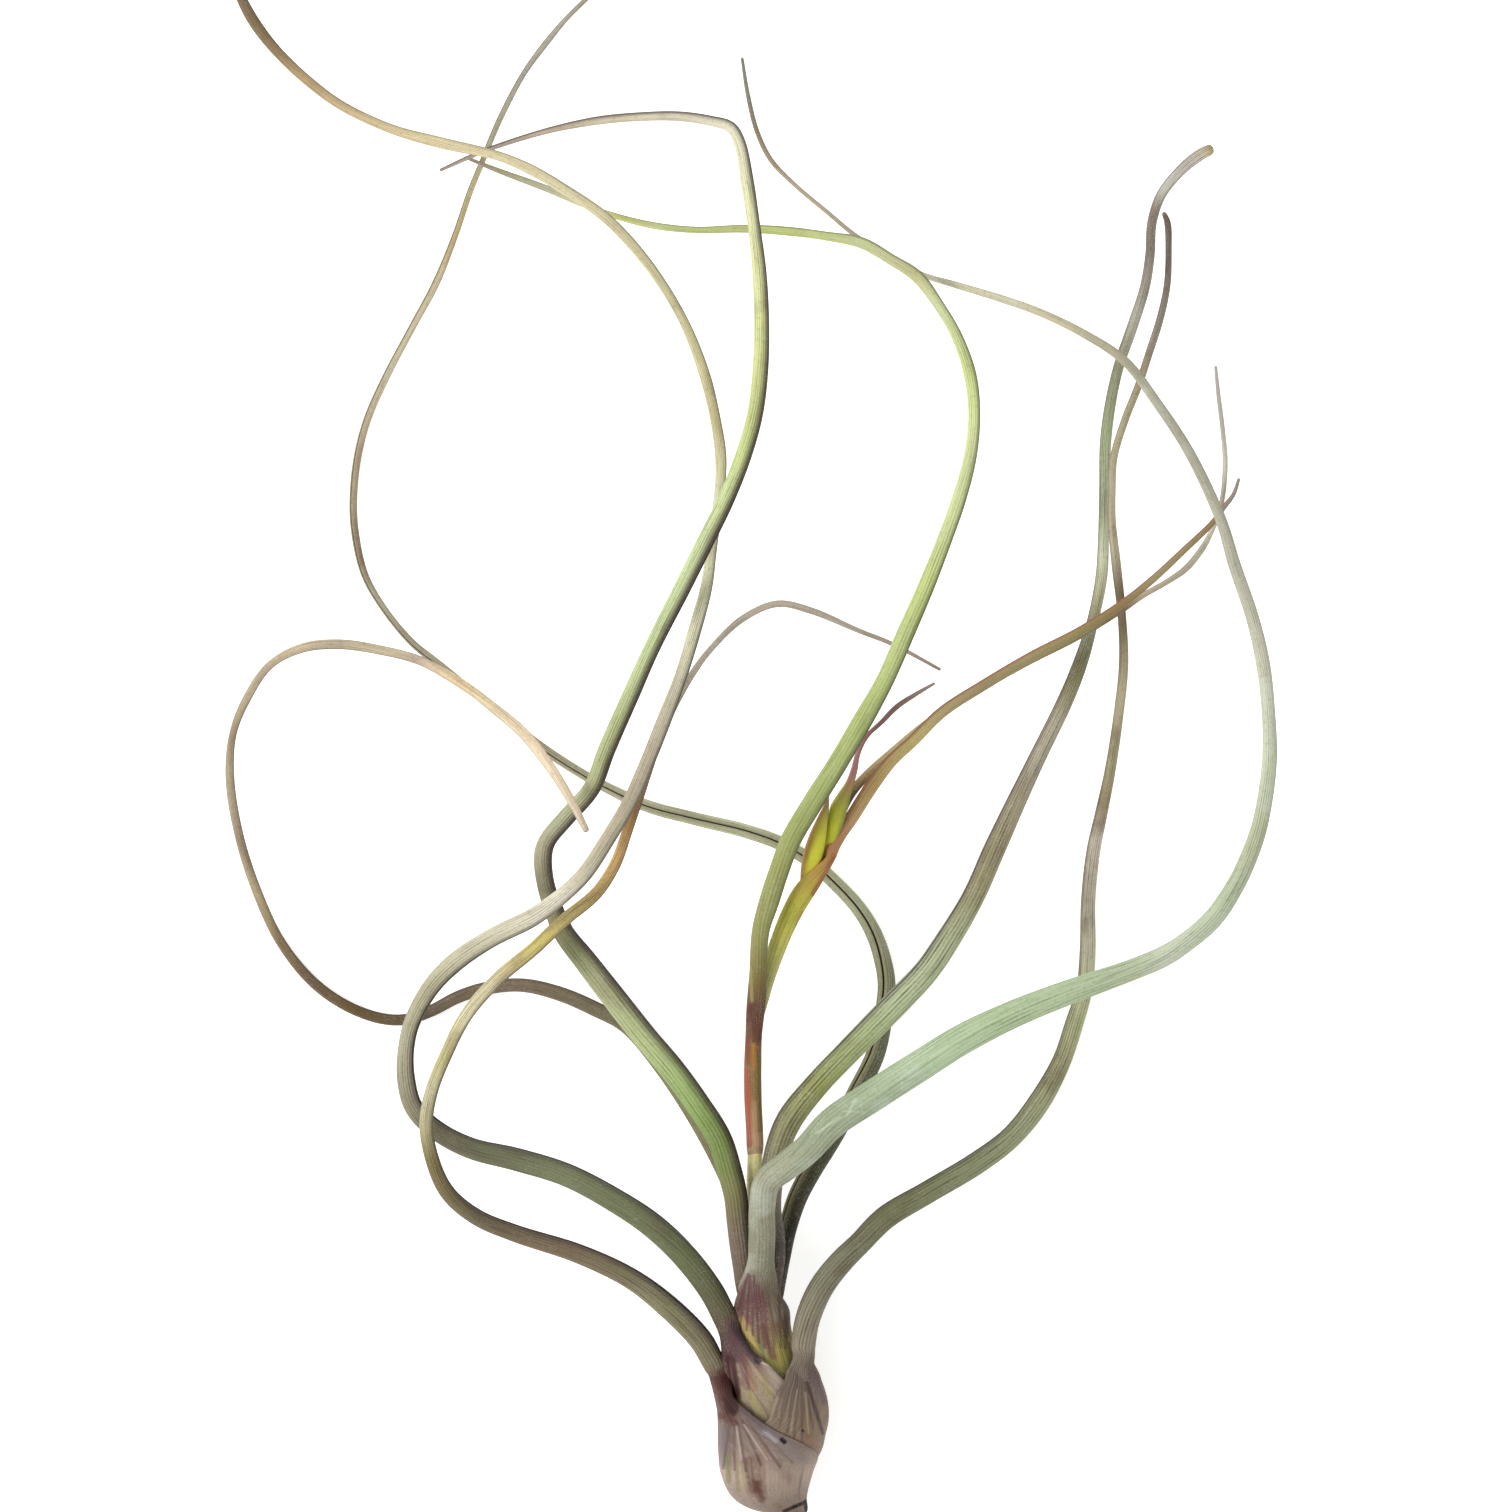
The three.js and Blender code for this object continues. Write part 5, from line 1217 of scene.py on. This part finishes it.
LEAF_8 = Leaf(
    node="leaf_8", slot="leaf_dry",
    sheath=(
        (3.1, -13.2, 10.8, 3.0, 160), (1.6, -12.0, 10.6, 4.4, 162), (0.4, -9.5, 10.6, 6.1, 165),
        (-0.3, -5.5, 10.6, 8.6, 160), (-0.1, -2.0, 10.6, 10.2, 125), (0.3, 1.0, 10.6, 10.5, 86),
        (0.9, 3.6, 10.6, 10.45, 54), (0.7, 6.5, 10.8, 10.7, 46), (0.4, 9.5, 11.0, 10.6, 38),
        (0.9, 12.3, 11.8, 9.4, 31), (4.8, 15.2, 15.8, 3.7, 60), (6.1, 17.0, 17.2, 2.5, 105),
    ),
    blade=(
        (6.3, 18.8, 17.8, 2.45), (6.8, 22.6, 19, 2.5), (8, 26.6, 19.6, 2.55), (10.2, 31, 19.5, 2.55),
        (13.8, 35.6, 18.8, 2.5), (17.6, 39.4, 17.8, 2.4), (22.7, 44.4, 16, 2.45),
        (31.1, 49.4, 13, 2.35), (41.1, 55.3, 9, 2.35), (48.1, 60.6, 5.5, 2.25), (53.7, 67.6, 3.2, 2.3),
        (58.1, 75.7, 2.2, 1.95), (60.6, 83.1, 1.85, 1.9), (62.6, 89.9, 1.8, 1.7),
        (63.3, 97.6, 2.4, 1.65), (63.4, 107.8, 4, 1.5), (64.4, 117.6, 6.5, 1.45), (66, 125.4, 9, 1.3),
        (67.6, 133.2, 11.5, 1.15), (69.2, 143.6, 14, 1.05), (70.4, 155.4, 16.5, 1),
        (70, 165.2, 18.5, 0.9), (68.9, 175, 20.5, 1), (68, 184, 21.5, 0.85), (68, 190, 22, 0.82),
        (68.4, 196.6, 22.5, 0.8), (70.7, 204.3, 23, 0.8), (73.3, 210.9, 23, 0.8),
        (75.4, 217.3, 22.8, 0.8), (77.7, 224.5, 21.5, 0.78), (79.1, 231.2, 19.5, 0.72),
        (79.4, 238.4, 17, 0.68), (79.2, 243.6, 15.5, 0.7), (78.4, 245.8, 15, 0.45),
    ),
    rolls=((0, 42), (10, 42), (14, 70), (18, 98), (23, 100), (29, 96), (45, 90)),
    finish=LeafFinish(
        colours=(
            (0, "6d5d50"), (3, "857260"), (6, "8a7762"), (8, "7f6e62"), (9.6, "84766a"), (12, "908472"),
            (14, "857f6a"), (16, "7c7d64"), (18, "70714f"), (20, "8e9470"), (21.4, "a1a680"),
            (23, "aaaa82"), (24.4, "b4b98c"), (26, "bab69c"), (27.4, "c8c0ac"), (28.4, "ccc3af"),
            (29.2, "96896a"), (30.4, "a39d78"), (31.4, "bcb292"), (32.4, "978c6c"), (33.4, "74664e"),
            (34.4, "bdb297"), (36, "c2ba9c"), (38, "aea682"), (39.4, "a7997f"), (40.6, "9a9182"),
            (42, "877d72"), (43.4, "736a5e"), (44.4, "67574e"), (45, "8a8878"),
        ),
        groove=("433a2a", 0.65), streak=("57412f", 0.45), rim_and_shade=("4c423e", 0.5),
        blotch=("5d4632", 0.45), scurf=0.16, fan=0.5, seed=8.0,
        marks=(
            Mark((6.4, 3.6), (8.0, -1.4), 1.9, "7d6146", 0.55, Edge.STAIN),
            Mark((5.4, -1.2), (8.8, -1.6), 1.0, "9c6e5e", 0.45, Edge.STAIN),
            Mark((8.2, 11.8), (10.4, 6.6), 1.1, "62545c", 0.65, Edge.STAIN),
            Mark((1.0, 7.0), (-0.4, 3.6), 1.0, "a39280", 0.5, Edge.STAIN),
            # Painted shade: the dark furrow where a fold of the sheath overlaps
            Mark((7.0, 10.4), (10.2, 0.2), 0.5, "423030", 0.85),
            Mark((6.5, 10.4), (8.2, 1.4), 0.35, "55443e", 0.65),
            Mark((6.0, 11.0), (6.0, -1.2), 0.4, "594840", 0.7),
            Mark((5.4, 11.4), (4.4, -0.6), 0.4, "5c4b43", 0.65),
            Mark((5.0, 12.0), (2.9, -0.6), 0.4, "5e4e46", 0.65),
            Mark((4.5, 12.6), (1.4, 1.4), 0.4, "64544a", 0.6),
            Mark((4.0, 13.2), (0.2, 3.4), 0.4, "6a5a4e", 0.6),
            Mark((6.7, 8.4), (7.3, 0.4), 0.3, "ab9a82", 0.5),
            Mark((5.0, 9.0), (3.8, 1.0), 0.3, "a89a88", 0.45),
            Mark((6.1, 0.9), (6.3, 0.7), 0.3, "3a2e2e", 1.2, Edge.CRISP),
        ),
    ),
)

BRACT_LONG = Leaf(
    node="bract_long", slot="bract", wall=0.6, outer_points=64, inner_points=22,
    sheath=(
        (-3.4, 57.0, 22.0, 1.5, 168), (-3.4, 58.4, 22.4, 1.66, 168), (-3.5, 62.0, 23.2, 1.7, 165),
        (-3.8, 68.0, 24.6, 1.75, 160), (-3.85, 75.0, 26.2, 1.74, 150), (-3.6, 80.5, 27.6, 1.72, 125),
        (-3.1, 86.6, 29.2, 2.0, 120),
    ),
    blade=(
        (-2.8, 93.4, 31, 1.75), (-2.2, 102, 33, 1.8), (-0.5, 107.7, 34.4, 2.1), (1.6, 114.1, 36, 2.1),
        (3.9, 120.1, 37.4, 2.15), (8.4, 127.7, 39, 2.15), (13.4, 135.7, 41, 2.05),
        (18.0, 143.6, 42.2, 2.05), (22.5, 151.7, 43, 1.85), (27, 161.9, 44, 1.85),
        (31, 171.1, 44.5, 1.7), (35, 181.4, 44.5, 1.55), (37.3, 187.9, 44.5, 1.5),
        (39.6, 196.6, 44, 1.35), (40.4, 205, 43, 1.25), (39.6, 212.9, 42.5, 1.3), (37, 220.5, 42, 1.15),
        (33.3, 226.9, 41, 1.12), (29, 232.6, 40.5, 1.3), (23.8, 236, 39.5, 1.15),
        (18, 239.3, 38.5, 1.2), (10.7, 240.7, 37.5, 0.95), (3, 241.7, 36, 0.95),
        (-5.4, 242.2, 34, 0.85), (-15.2, 242, 31.5, 0.7), (-23, 242.8, 29, 0.73),
        (-30.2, 244.5, 27, 0.65), (-38, 247.2, 24, 0.55), (-44.6, 250.2, 21.5, 0.7),
        (-54.4, 253.9, 18, 0.55), (-61.6, 256.8, 15.7, 0.31),
    ),
    rolls=((0, -35), (6, -50), (9, -86), (13, -98), (21, -98), (37, -90)),
    finish=LeafFinish(
        colours=(
            (0, "cdb08a"), (1.4, "c8a482"), (2, "bd9270"), (3, "976c42"), (4, "93703f"), (5, "7a4b38"),
            (6, "6c4a38"), (7, "7b6c38"), (8, "94945c"), (10, "969a5a"), (12, "9ba766"), (14, "a9b671"),
            (16, "b3c07e"), (17, "bdca80"), (18, "c6d094"), (20, "cad29b"), (21, "cfd896"),
            (22, "c3ce88"), (24, "c8cf9c"), (25, "c3c18f"), (27, "cbd09a"), (29, "bfcb7c"),
            (30, "b3b972"), (32, "c4cc8c"), (33, "b9b973"), (34, "cfc79a"), (35, "b4b39a"),
            (36, "9b9372"), (37, "a48f84"),
        ),
        groove=("5e683a", 0.45), streak=("74703c", 0.4), rim_and_shade=("5a5c38", 0.8), channel="4d4a34",
        blotch=("8f7a50", 0.2), scurf=0.22, ribs=16, fan=0.3, fan_rows=(0.0, 1.0), seed=9.0,
        marks=(
            Mark((-3.6, 66.4), (-3.0, 58.2), 1.1, "c6a07c", 0.5, Edge.STAIN),
            Mark((-2.5, 75.0), (-2.4, 61.0), 0.7, "756a38", 0.65),
            Mark((-5.1, 73.0), (-4.5, 58.0), 0.8, "ac4f44", 0.75),
            Mark((-3.7, 78.2), (-3.6, 73.4), 0.6, "b87e30", 0.75),
            Mark((-4.5, 85.6), (-2.9, 79.8), 1.9, "5c2f2c", 0.7, Edge.STAIN),
            Mark((-4.9, 79.6), (-4.9, 74.4), 0.5, "8a4038", 0.6),
            Mark((-4.4, 93.6), (-4.0, 87.0), 0.5, "a8a066", 0.5),
        ),
    ),
)

BRACT_UPPER = Leaf(
    node="bract_upper", slot="bract", wall=0.5, outer_points=64, inner_points=22,
    sheath=(
        (-2.4, 83.4, 25.6, 0.4, 150), (-2.0, 86.6, 26.0, 0.95, 150), (-1.1, 91.6, 26.9, 1.5, 150),
        (0.6, 97.4, 27.8, 1.9, 150), (2.5, 102.4, 28.6, 2.15, 150), (4.4, 106.4, 29.3, 2.4, 150),
        (6.7, 110.4, 30.1, 2.65, 146), (9.0, 114.2, 31.2, 2.5, 118), (10.9, 116.8, 31.4, 1.9, 110),
    ),
    blade=(
        (12.2, 118.8, 31.0, 1.45), (13.7, 121.2, 30.3, 1.3), (15.9, 124.5, 29.6, 1.4),
        (20, 130.9, 29.4, 1.4), (24, 136, 30.5, 1.25), (28.1, 139.8, 31, 1.2), (34, 145.6, 31.5, 1.15),
        (42, 150.8, 31.5, 1.12), (51.8, 156.6, 31.5, 1.1), (61.6, 161.8, 31.5, 0.95),
        (70, 167.2, 31.5, 0.85), (76.3, 172.3, 31.5, 0.75), (82.2, 177.8, 31.5, 0.68),
        (88.2, 183.6, 31.8, 0.6), (90.2, 186.4, 32, 0.55), (92.2, 189, 32.2, 0.45),
        (93.4, 192.4, 32.5, 0.3),
    ),
    rolls=((0, 70), (5, 70), (6, 75), (7, 90), (8, 105), (12, 100), (25, 95)),
    finish=LeafFinish(
        colours=(
            (0, "b4b078"), (2, "cbca84"), (3, "cfce74"), (4, "cbca58"), (5, "c8c448"), (6, "c4b248"),
            (7, "bd974c"), (8, "b27e4c"), (9, "b4805a"), (10, "b68562"), (11, "c09e70"), (12, "bda069"),
            (14, "c6b678"), (15, "ae9e72"), (16, "948560"), (17, "968c62"), (18, "8c8050"),
            (19, "8a744c"), (20, "988d6a"), (21, "958663"), (22, "8c7856"), (23, "93847f"),
            (25, "9a928a"),
        ),
        groove=("7a6a34", 0.3), streak=("96602f", 0.3), rim_and_shade=("8a4a34", 0.8), channel="5a4028",
        blotch=("9a6a3a", 0.3), scurf=0.12, ribs=14, fan=0.25, fan_rows=(0.0, 1.0), seed=10.0,
        marks=(
            Mark((3.2, 94.6), (5.8, 104.4), 0.8, "b4705c", 0.55, Edge.STAIN),
            Mark((4.4, 99.0), (5.0, 102.4), 0.3, "8c4436", 0.6),
            Mark((8.4, 108.4), (12.6, 115.4), 0.9, "9a5438", 0.75),
        ),
    ),
)

BRACT_INNER = Leaf(
    node="bract_inner", slot="bract", wall=0.6, outer_points=48, inner_points=16,
    sheath=(),
    blade=(
        (9.4, 114.6, 25.3, 0.6), (12.6, 122.2, 26.9, 0.8), (15.6, 129.0, 27.6, 0.95),
        (18.6, 132.6, 27.4, 0.95), (23.6, 137.3, 27, 0.8), (31.8, 144.2, 26.2, 0.6),
        (42, 150.4, 26, 0.6), (51.8, 155.8, 26, 0.6), (61.6, 160.8, 26, 0.6), (70.6, 166.4, 26, 0.6),
        (74, 168.8, 26, 0.6), (78.9, 171.6, 26.2, 0.6), (82.8, 174.3, 26.5, 0.7),
        (86.1, 178.4, 27, 0.68), (87.8, 181.5, 27.5, 0.55), (89.8, 187, 28.5, 0.52),
        (90.6, 195.2, 30.5, 0.55), (90.1, 201.8, 32, 0.5), (89.2, 209, 34.5, 0.45),
        (88.6, 214.8, 37, 0.3),
    ),
    rolls=((0, 95), (19, 90)),
    finish=LeafFinish(
        colours=(
            (0, "c0a468"), (1, "8a7440"), (2, "5f5130"), (3, "9c845a"), (4, "c4b086"), (5, "c0b48c"),
            (6, "8d8156"), (7, "938d68"), (8, "87805e"), (9, "806c54"), (10, "b6a892"), (11, "c2b49c"),
            (12, "bfb4a2"), (13, "c8c4ac"), (14, "d4cbba"), (15, "aca092"), (16, "cac6b4"),
            (17, "c6beb2"), (19, "b8b0aa"),
        ),
        groove=("6a5a34", 0.3), rim_and_shade=("6b5138", 0.4), scurf=0.25, ribs=10, seed=11.0,
    ),
)


@dataclass(frozen=True)
class RoundFinish(Skin):
    """The skin of a round piece: colours from end to end, one flank's tint, and its surface.

    Attributes:
        flank: the colour of one flank, and how strongly it shows.
        flank_at: the direction of that flank, in degrees clockwise from straight up.
        fleck: the colour of the drawn-out flecks, and how strongly it shows.
        roughness: how matt the surface is.
        grain: how deep its fine relief is, in millimetres.
        seed: sets this piece's noise apart from the others'.
    """

    flank: tuple[str, float] = ("a86c38", 0.0)
    flank_at: float = -90.0
    fleck: tuple[str, float] = ("6b4a30", 0.3)
    roughness: float = 0.5
    grain: float = 0.1
    seed: float = 0.0

    def material(self, name: str, course: Course) -> bpy.types.Material:
        """The material of one round piece.

        The colour is read along the piece, tinted round its flank and flecked by drawn-out noise.

        Args:
            name: the name of the material.
            course: the piece's course, which says how far along each row lies.

        Returns:
            The material.
        """
        s = Shader(name)
        along, reach, turn = s.trait("along"), s.trait("reach"), s.trait("turn")
        colour = s.ramp(along, self.stops(course))
        angle = s.times(turn, np.pi)
        facing = s.math("COSINE", s.less(angle, float(np.radians(self.flank_at))))
        wander = s.noise(s.point(s.times(reach, 0.2), 0.0, self.seed), 1.0)
        facing = s.plus(facing, s.times(wander, 0.5))
        colour = s.mix(s.rise(facing, 0.55, 1.15, self.flank[1]), colour, srgb(self.flank[0]))
        round_it = s.point(s.times(reach, 0.35), s.math("SINE", angle),
                           s.plus(s.math("COSINE", angle), self.seed))
        flecks = s.noise(round_it, 3.0, 4.0)
        colour = s.mix(s.rise(flecks, 0.5, 0.72, self.fleck[1]), colour, srgb(self.fleck[0]))
        relief = s.plus(flecks, s.noise(s.place(), ROUND_WAVES))
        s.bump(relief, self.grain * MM, ROUND_RELIEF_SHARE)
        return s.finish(colour, self.roughness, ROUND_GLOSS)


@dataclass
class RoundPiece(Piece):
    """A stalk, spike or stem stub: a round piece along a course.

    Attributes:
        rows: right, up, height and radius along the middle.
        finish: its skin.
        lobes: how many low keels run along it, and how high they stand as a share of its radius.
        ruffle: how uneven its radius is along the way, as a share of it.
        points: the number of points round it.
    """

    rows: Rows
    finish: RoundFinish
    lobes: tuple[int, float] = (0, 0.0)
    ruffle: float = 0.0
    points: int = 48

    def course(self) -> Course:
        """The piece's course, with a column for radius, and closer stations at both ends."""
        return Course(np.array(self.rows), spacing=0.5, fine=(1, 1), fine_spacing=0.15)

    def surface(self, course: Course) -> tuple[np.ndarray, dict[str, np.ndarray]]:
        """The piece's surface, as rings of points.

        Its radius is the course's, times one plus a cosine for each keel and a slow sine along it.
        Both ends shrink as a half circle does.

        Args:
            course: the piece's course.

        Returns:
            The points, and the values at each that the finish reads.
        """
        side, up = course.frames(np.zeros(len(course.values)))
        turn = (np.arange(self.points) / self.points * 2 - 1)[None, :]
        angle = turn * np.pi
        radius = course.values[:, 3]
        left = np.minimum(course.reach, course.reach[-1] - course.reach)
        blunt = np.clip(left / np.maximum(radius.min(), 0.3), 0.0, 1.0)
        radius = (radius * rounded(blunt, ROUND_TIP))[:, None]
        keels = 1 + self.lobes[1] * (np.cos(angle * self.lobes[0]) - 1) / 2
        waves = 1 + self.ruffle * np.sin(course.reach[:, None] * 2.1 + 2 * np.sin(angle * 2))
        return course.rings(up, side, angle, radius * keels * waves), course.traits(turn)


STEM = RoundPiece(
    node="stem", slot="stem",
    rows=(
        (5.6, -20.5, 10.6, 1.85), (5.2, -18.2, 10.7, 2.1), (4.6, -16.6, 10.8, 1.65),
        (3.9, -15.2, 10.8, 1.6), (3.0, -13.2, 10.8, 1.6), (2.1, -11, 10.8, 1.45),
        (1.3, -8.4, 10.8, 1.25), (0.6, -6.2, 10.8, 1.1), (0.2, -4.4, 10.8, 0.9),
    ),
    finish=RoundFinish(
        colours=((0, "3a2c25"), (1, "2b211d"), (3, "221a17"), (8, "2b211d")),
        fleck=("5d4a3c", 0.6), roughness=0.85, grain=0.35, seed=20.0,
    ),
    lobes=(7, 0.12), ruffle=0.06,
)

FLOWER_STALK = RoundPiece(
    node="flower_stalk", slot="flower_stalk",
    rows=(
        (0.1, -3.8, 10.8, 0.9), (0, 3, 11, 1.1), (-0.5, 12, 12, 1.1), (-1.5, 20, 13.3, 0.65),
        (-2.1, 26, 13.8, 0.75), (-2.6, 31, 13.4, 0.8), (-3.1, 36, 14.8, 0.85), (-3.6, 42, 17, 1.0),
        (-3.7, 48, 19.4, 1.3), (-3.6, 52, 20.6, 1.5), (-3.4, 56, 21.7, 1.5), (-3.4, 59.0, 22.5, 1.4),
        (-3.6, 62, 23.2, 0.55), (-3.6, 68, 24.6, 0.55), (-3.7, 75, 26.2, 0.5), (-3.2, 81, 27.1, 0.5),
        (-2.2, 84.8, 26.3, 0.5), (-1.6, 87.4, 26, 0.5), (-0.7, 92.2, 26.9, 0.5), (0.6, 97.4, 27.8, 0.6),
        (2.4, 102.4, 28.3, 0.7), (4.6, 107, 28.3, 0.7),
    ),
    finish=RoundFinish(
        # The pale stretch, rows 8 to 11.6, is its own pale yellow painted lighter: painted light where
        # the leaves above shade the stalk
        colours=((0, "8a8458"), (7, "b4ac7c"), (8, "eae4ae"), (10, "f4eeaa"), (11.6, "ead894"),
                 (12, "bb966c"), (16, "8a6a40"), (18, "c2bc64"), (21, "b8b048")),
        fleck=("b08a5c", 0.3), grain=0.05, seed=21.0,
    ),
)

SPIKE_LEFT = RoundPiece(
    node="spike_left", slot="spike",
    rows=(
        (5.2, 107.5, 29.0, 0.45), (6.3, 109.6, 29.6, 0.9), (7.1, 112.2, 30.4, 1.7),
        (7.6, 114.4, 31.2, 2.1), (8.2, 117.0, 32.2, 2.25), (9.1, 120.6, 33.0, 1.95),
        (10.1, 124.2, 33.4, 1.25), (10.9, 127, 33.8, 0.6), (11.15, 129.0, 34, 0.28),
    ),
    finish=RoundFinish(
        colours=((0, "a9823c"), (1, "b9a03c"), (2, "c4b83a"), (3, "cbc438"), (4, "cfcc38"),
                 (5, "ccc93c"), (6, "bcae48"), (7, "a08a5a"), (8, "8f7468")),
        flank=("a5632c", 0.8), flank_at=-80.0, fleck=("9aa02c", 0.3), seed=22.0,
    ),
    lobes=(2, 0.12),
)

SPIKE_RIGHT = RoundPiece(
    node="spike_right", slot="spike",
    rows=(
        (6.6, 108.0, 28.3, 0.45), (8.0, 111.0, 28.7, 0.8), (9.6, 114.6, 29.3, 1.25),
        (11.3, 119.0, 30.3, 1.7), (12.4, 122.8, 31.4, 1.85), (13.3, 126.2, 32.4, 1.95),
        (14.4, 128.8, 33.0, 1.5), (15.5, 131.2, 33.4, 1.0), (16.4, 134, 34.2, 0.78),
        (17.2, 137.4, 35, 0.58), (19.0, 140.8, 35.8, 0.5), (21.8, 143.5, 36.4, 0.55),
        (25.0, 146.7, 36.8, 0.62), (28.8, 149.2, 36.6, 0.5), (32.6, 151.4, 36, 0.3),
    ),
    finish=RoundFinish(
        colours=((0, "c0b050"), (2, "bfae44"), (3, "bdb83a"), (4, "bcc032"), (5, "b4b436"),
                 (6, "a8a04a"), (7, "b88a64"), (8, "b47a80"), (9, "b0747f"), (10, "93606a"),
                 (12, "8a6868"), (14, "9a8884")),
        flank=("6f6a2a", 0.7), flank_at=90.0, fleck=("7e862c", 0.35), seed=23.0,
    ),
    lobes=(2, 0.1),
)

PIECES: tuple[Piece, ...] = (
    LEAF_1, LEAF_2, LEAF_3, LEAF_4, LEAF_5, LEAF_6, LEAF_7, LEAF_8,
    BRACT_LONG, BRACT_UPPER, BRACT_INNER, STEM, FLOWER_STALK, SPIKE_LEFT, SPIKE_RIGHT,
)


@dataclass(frozen=True)
class Studio:
    """The pale floor, the soft light and the camera that looks straight down.

    Attributes:
        middle: right and up of the view's middle, in the frame of the part, in metres.
        wide: the width of the view at the leaves' own height, in metres.
        leaf_height: that height, in metres.
        distance: how far above it the camera is, in metres.
        sensor: the width of the camera's sensor, in millimetres.
        sight: how far the camera sees, in metres.
        floor_half: half the length of the floor's side, in metres.
        floor_up: how high the floor lies, just under the plant, in metres.
        glow: how strongly the floor shines by itself.
        sky: how strongly the sky shines.
        light_place: where the soft light hangs, in metres.
        light_size: the length of its side, in metres.
        light_power: its power, in watts.
    """

    middle: tuple[float, float] = (-0.0032, 0.1359)
    wide: float = 0.3024
    leaf_height: float = 0.028
    distance: float = 8.0
    sensor: float = 36.0
    sight: float = 100.0
    floor_half: float = 4.0
    floor_up: float = -0.0002
    glow: float = 0.5
    sky: float = 0.72
    light_place: tuple[float, float, float] = (-2.6, 0.3, 2.8)
    light_size: float = 1.8
    light_power: float = 90.0

    def floor(self) -> None:
        """Lays a plain pale floor that shines a little by itself."""
        half, up = self.floor_half, self.floor_up
        mesh = bpy.data.meshes.new("floor")
        corners = [(-half, -half, up), (half, -half, up), (half, half, up), (-half, half, up)]
        mesh.from_pydata(corners, [], [(0, 1, 2, 3)])
        floor = placed("floor", mesh)
        s = Shader("pale_floor")
        pale = s.ramp(s.noise(s.place(), 3.0), ((0.0, "fafafa"), (1.0, "fcfcfc")))
        s.surface.inputs["Emission Color"].default_value = WHITE
        s.surface.inputs["Emission Strength"].default_value = self.glow
        mesh.materials.append(s.finish(pale, 0.9, 0.1))

    def light(self) -> None:
        """Sets the even sky, and hangs one square soft light that faces the plant."""
        world = bpy.data.worlds.new("pale_sky")
        world.use_nodes = True
        sky = world.node_tree.nodes["Background"]
        sky.inputs["Color"].default_value = WHITE
        sky.inputs["Strength"].default_value = self.sky
        bpy.context.scene.world = world
        data = bpy.data.lights.new("key_light", "AREA")
        data.shape, data.size, data.energy = "SQUARE", self.light_size, self.light_power
        lamp = placed("key_light", data)
        lamp.location = self.light_place
        aim = Vector((*self.middle, 0.0)) - Vector(self.light_place)
        lamp.rotation_mode = "QUATERNION"
        lamp.rotation_quaternion = aim.to_track_quat("-Z", "Y")
        lamp.visible_camera = False

    def camera(self) -> None:
        """Puts the camera straight above, far enough for an almost flat view."""
        data = bpy.data.cameras.new("camera")
        data.sensor_width = self.sensor
        data.lens = self.sensor * self.distance / self.wide
        data.clip_end = self.sight
        camera = placed("camera", data)
        camera.location = (*self.middle, self.leaf_height + self.distance)
        bpy.context.scene.camera = camera

    def build(self) -> None:
        """Sets up the floor, the light and the camera."""
        self.floor()
        self.light()
        self.camera()
        bpy.context.scene.view_settings.view_transform = "Standard"


def main() -> None:
    """Builds the plant and the studio round it."""
    logging.basicConfig(level=logging.INFO, format="%(name)s: %(message)s")
    Studio().build()
    for piece in PIECES:
        piece.build()


if __name__ == "__main__":
    main()
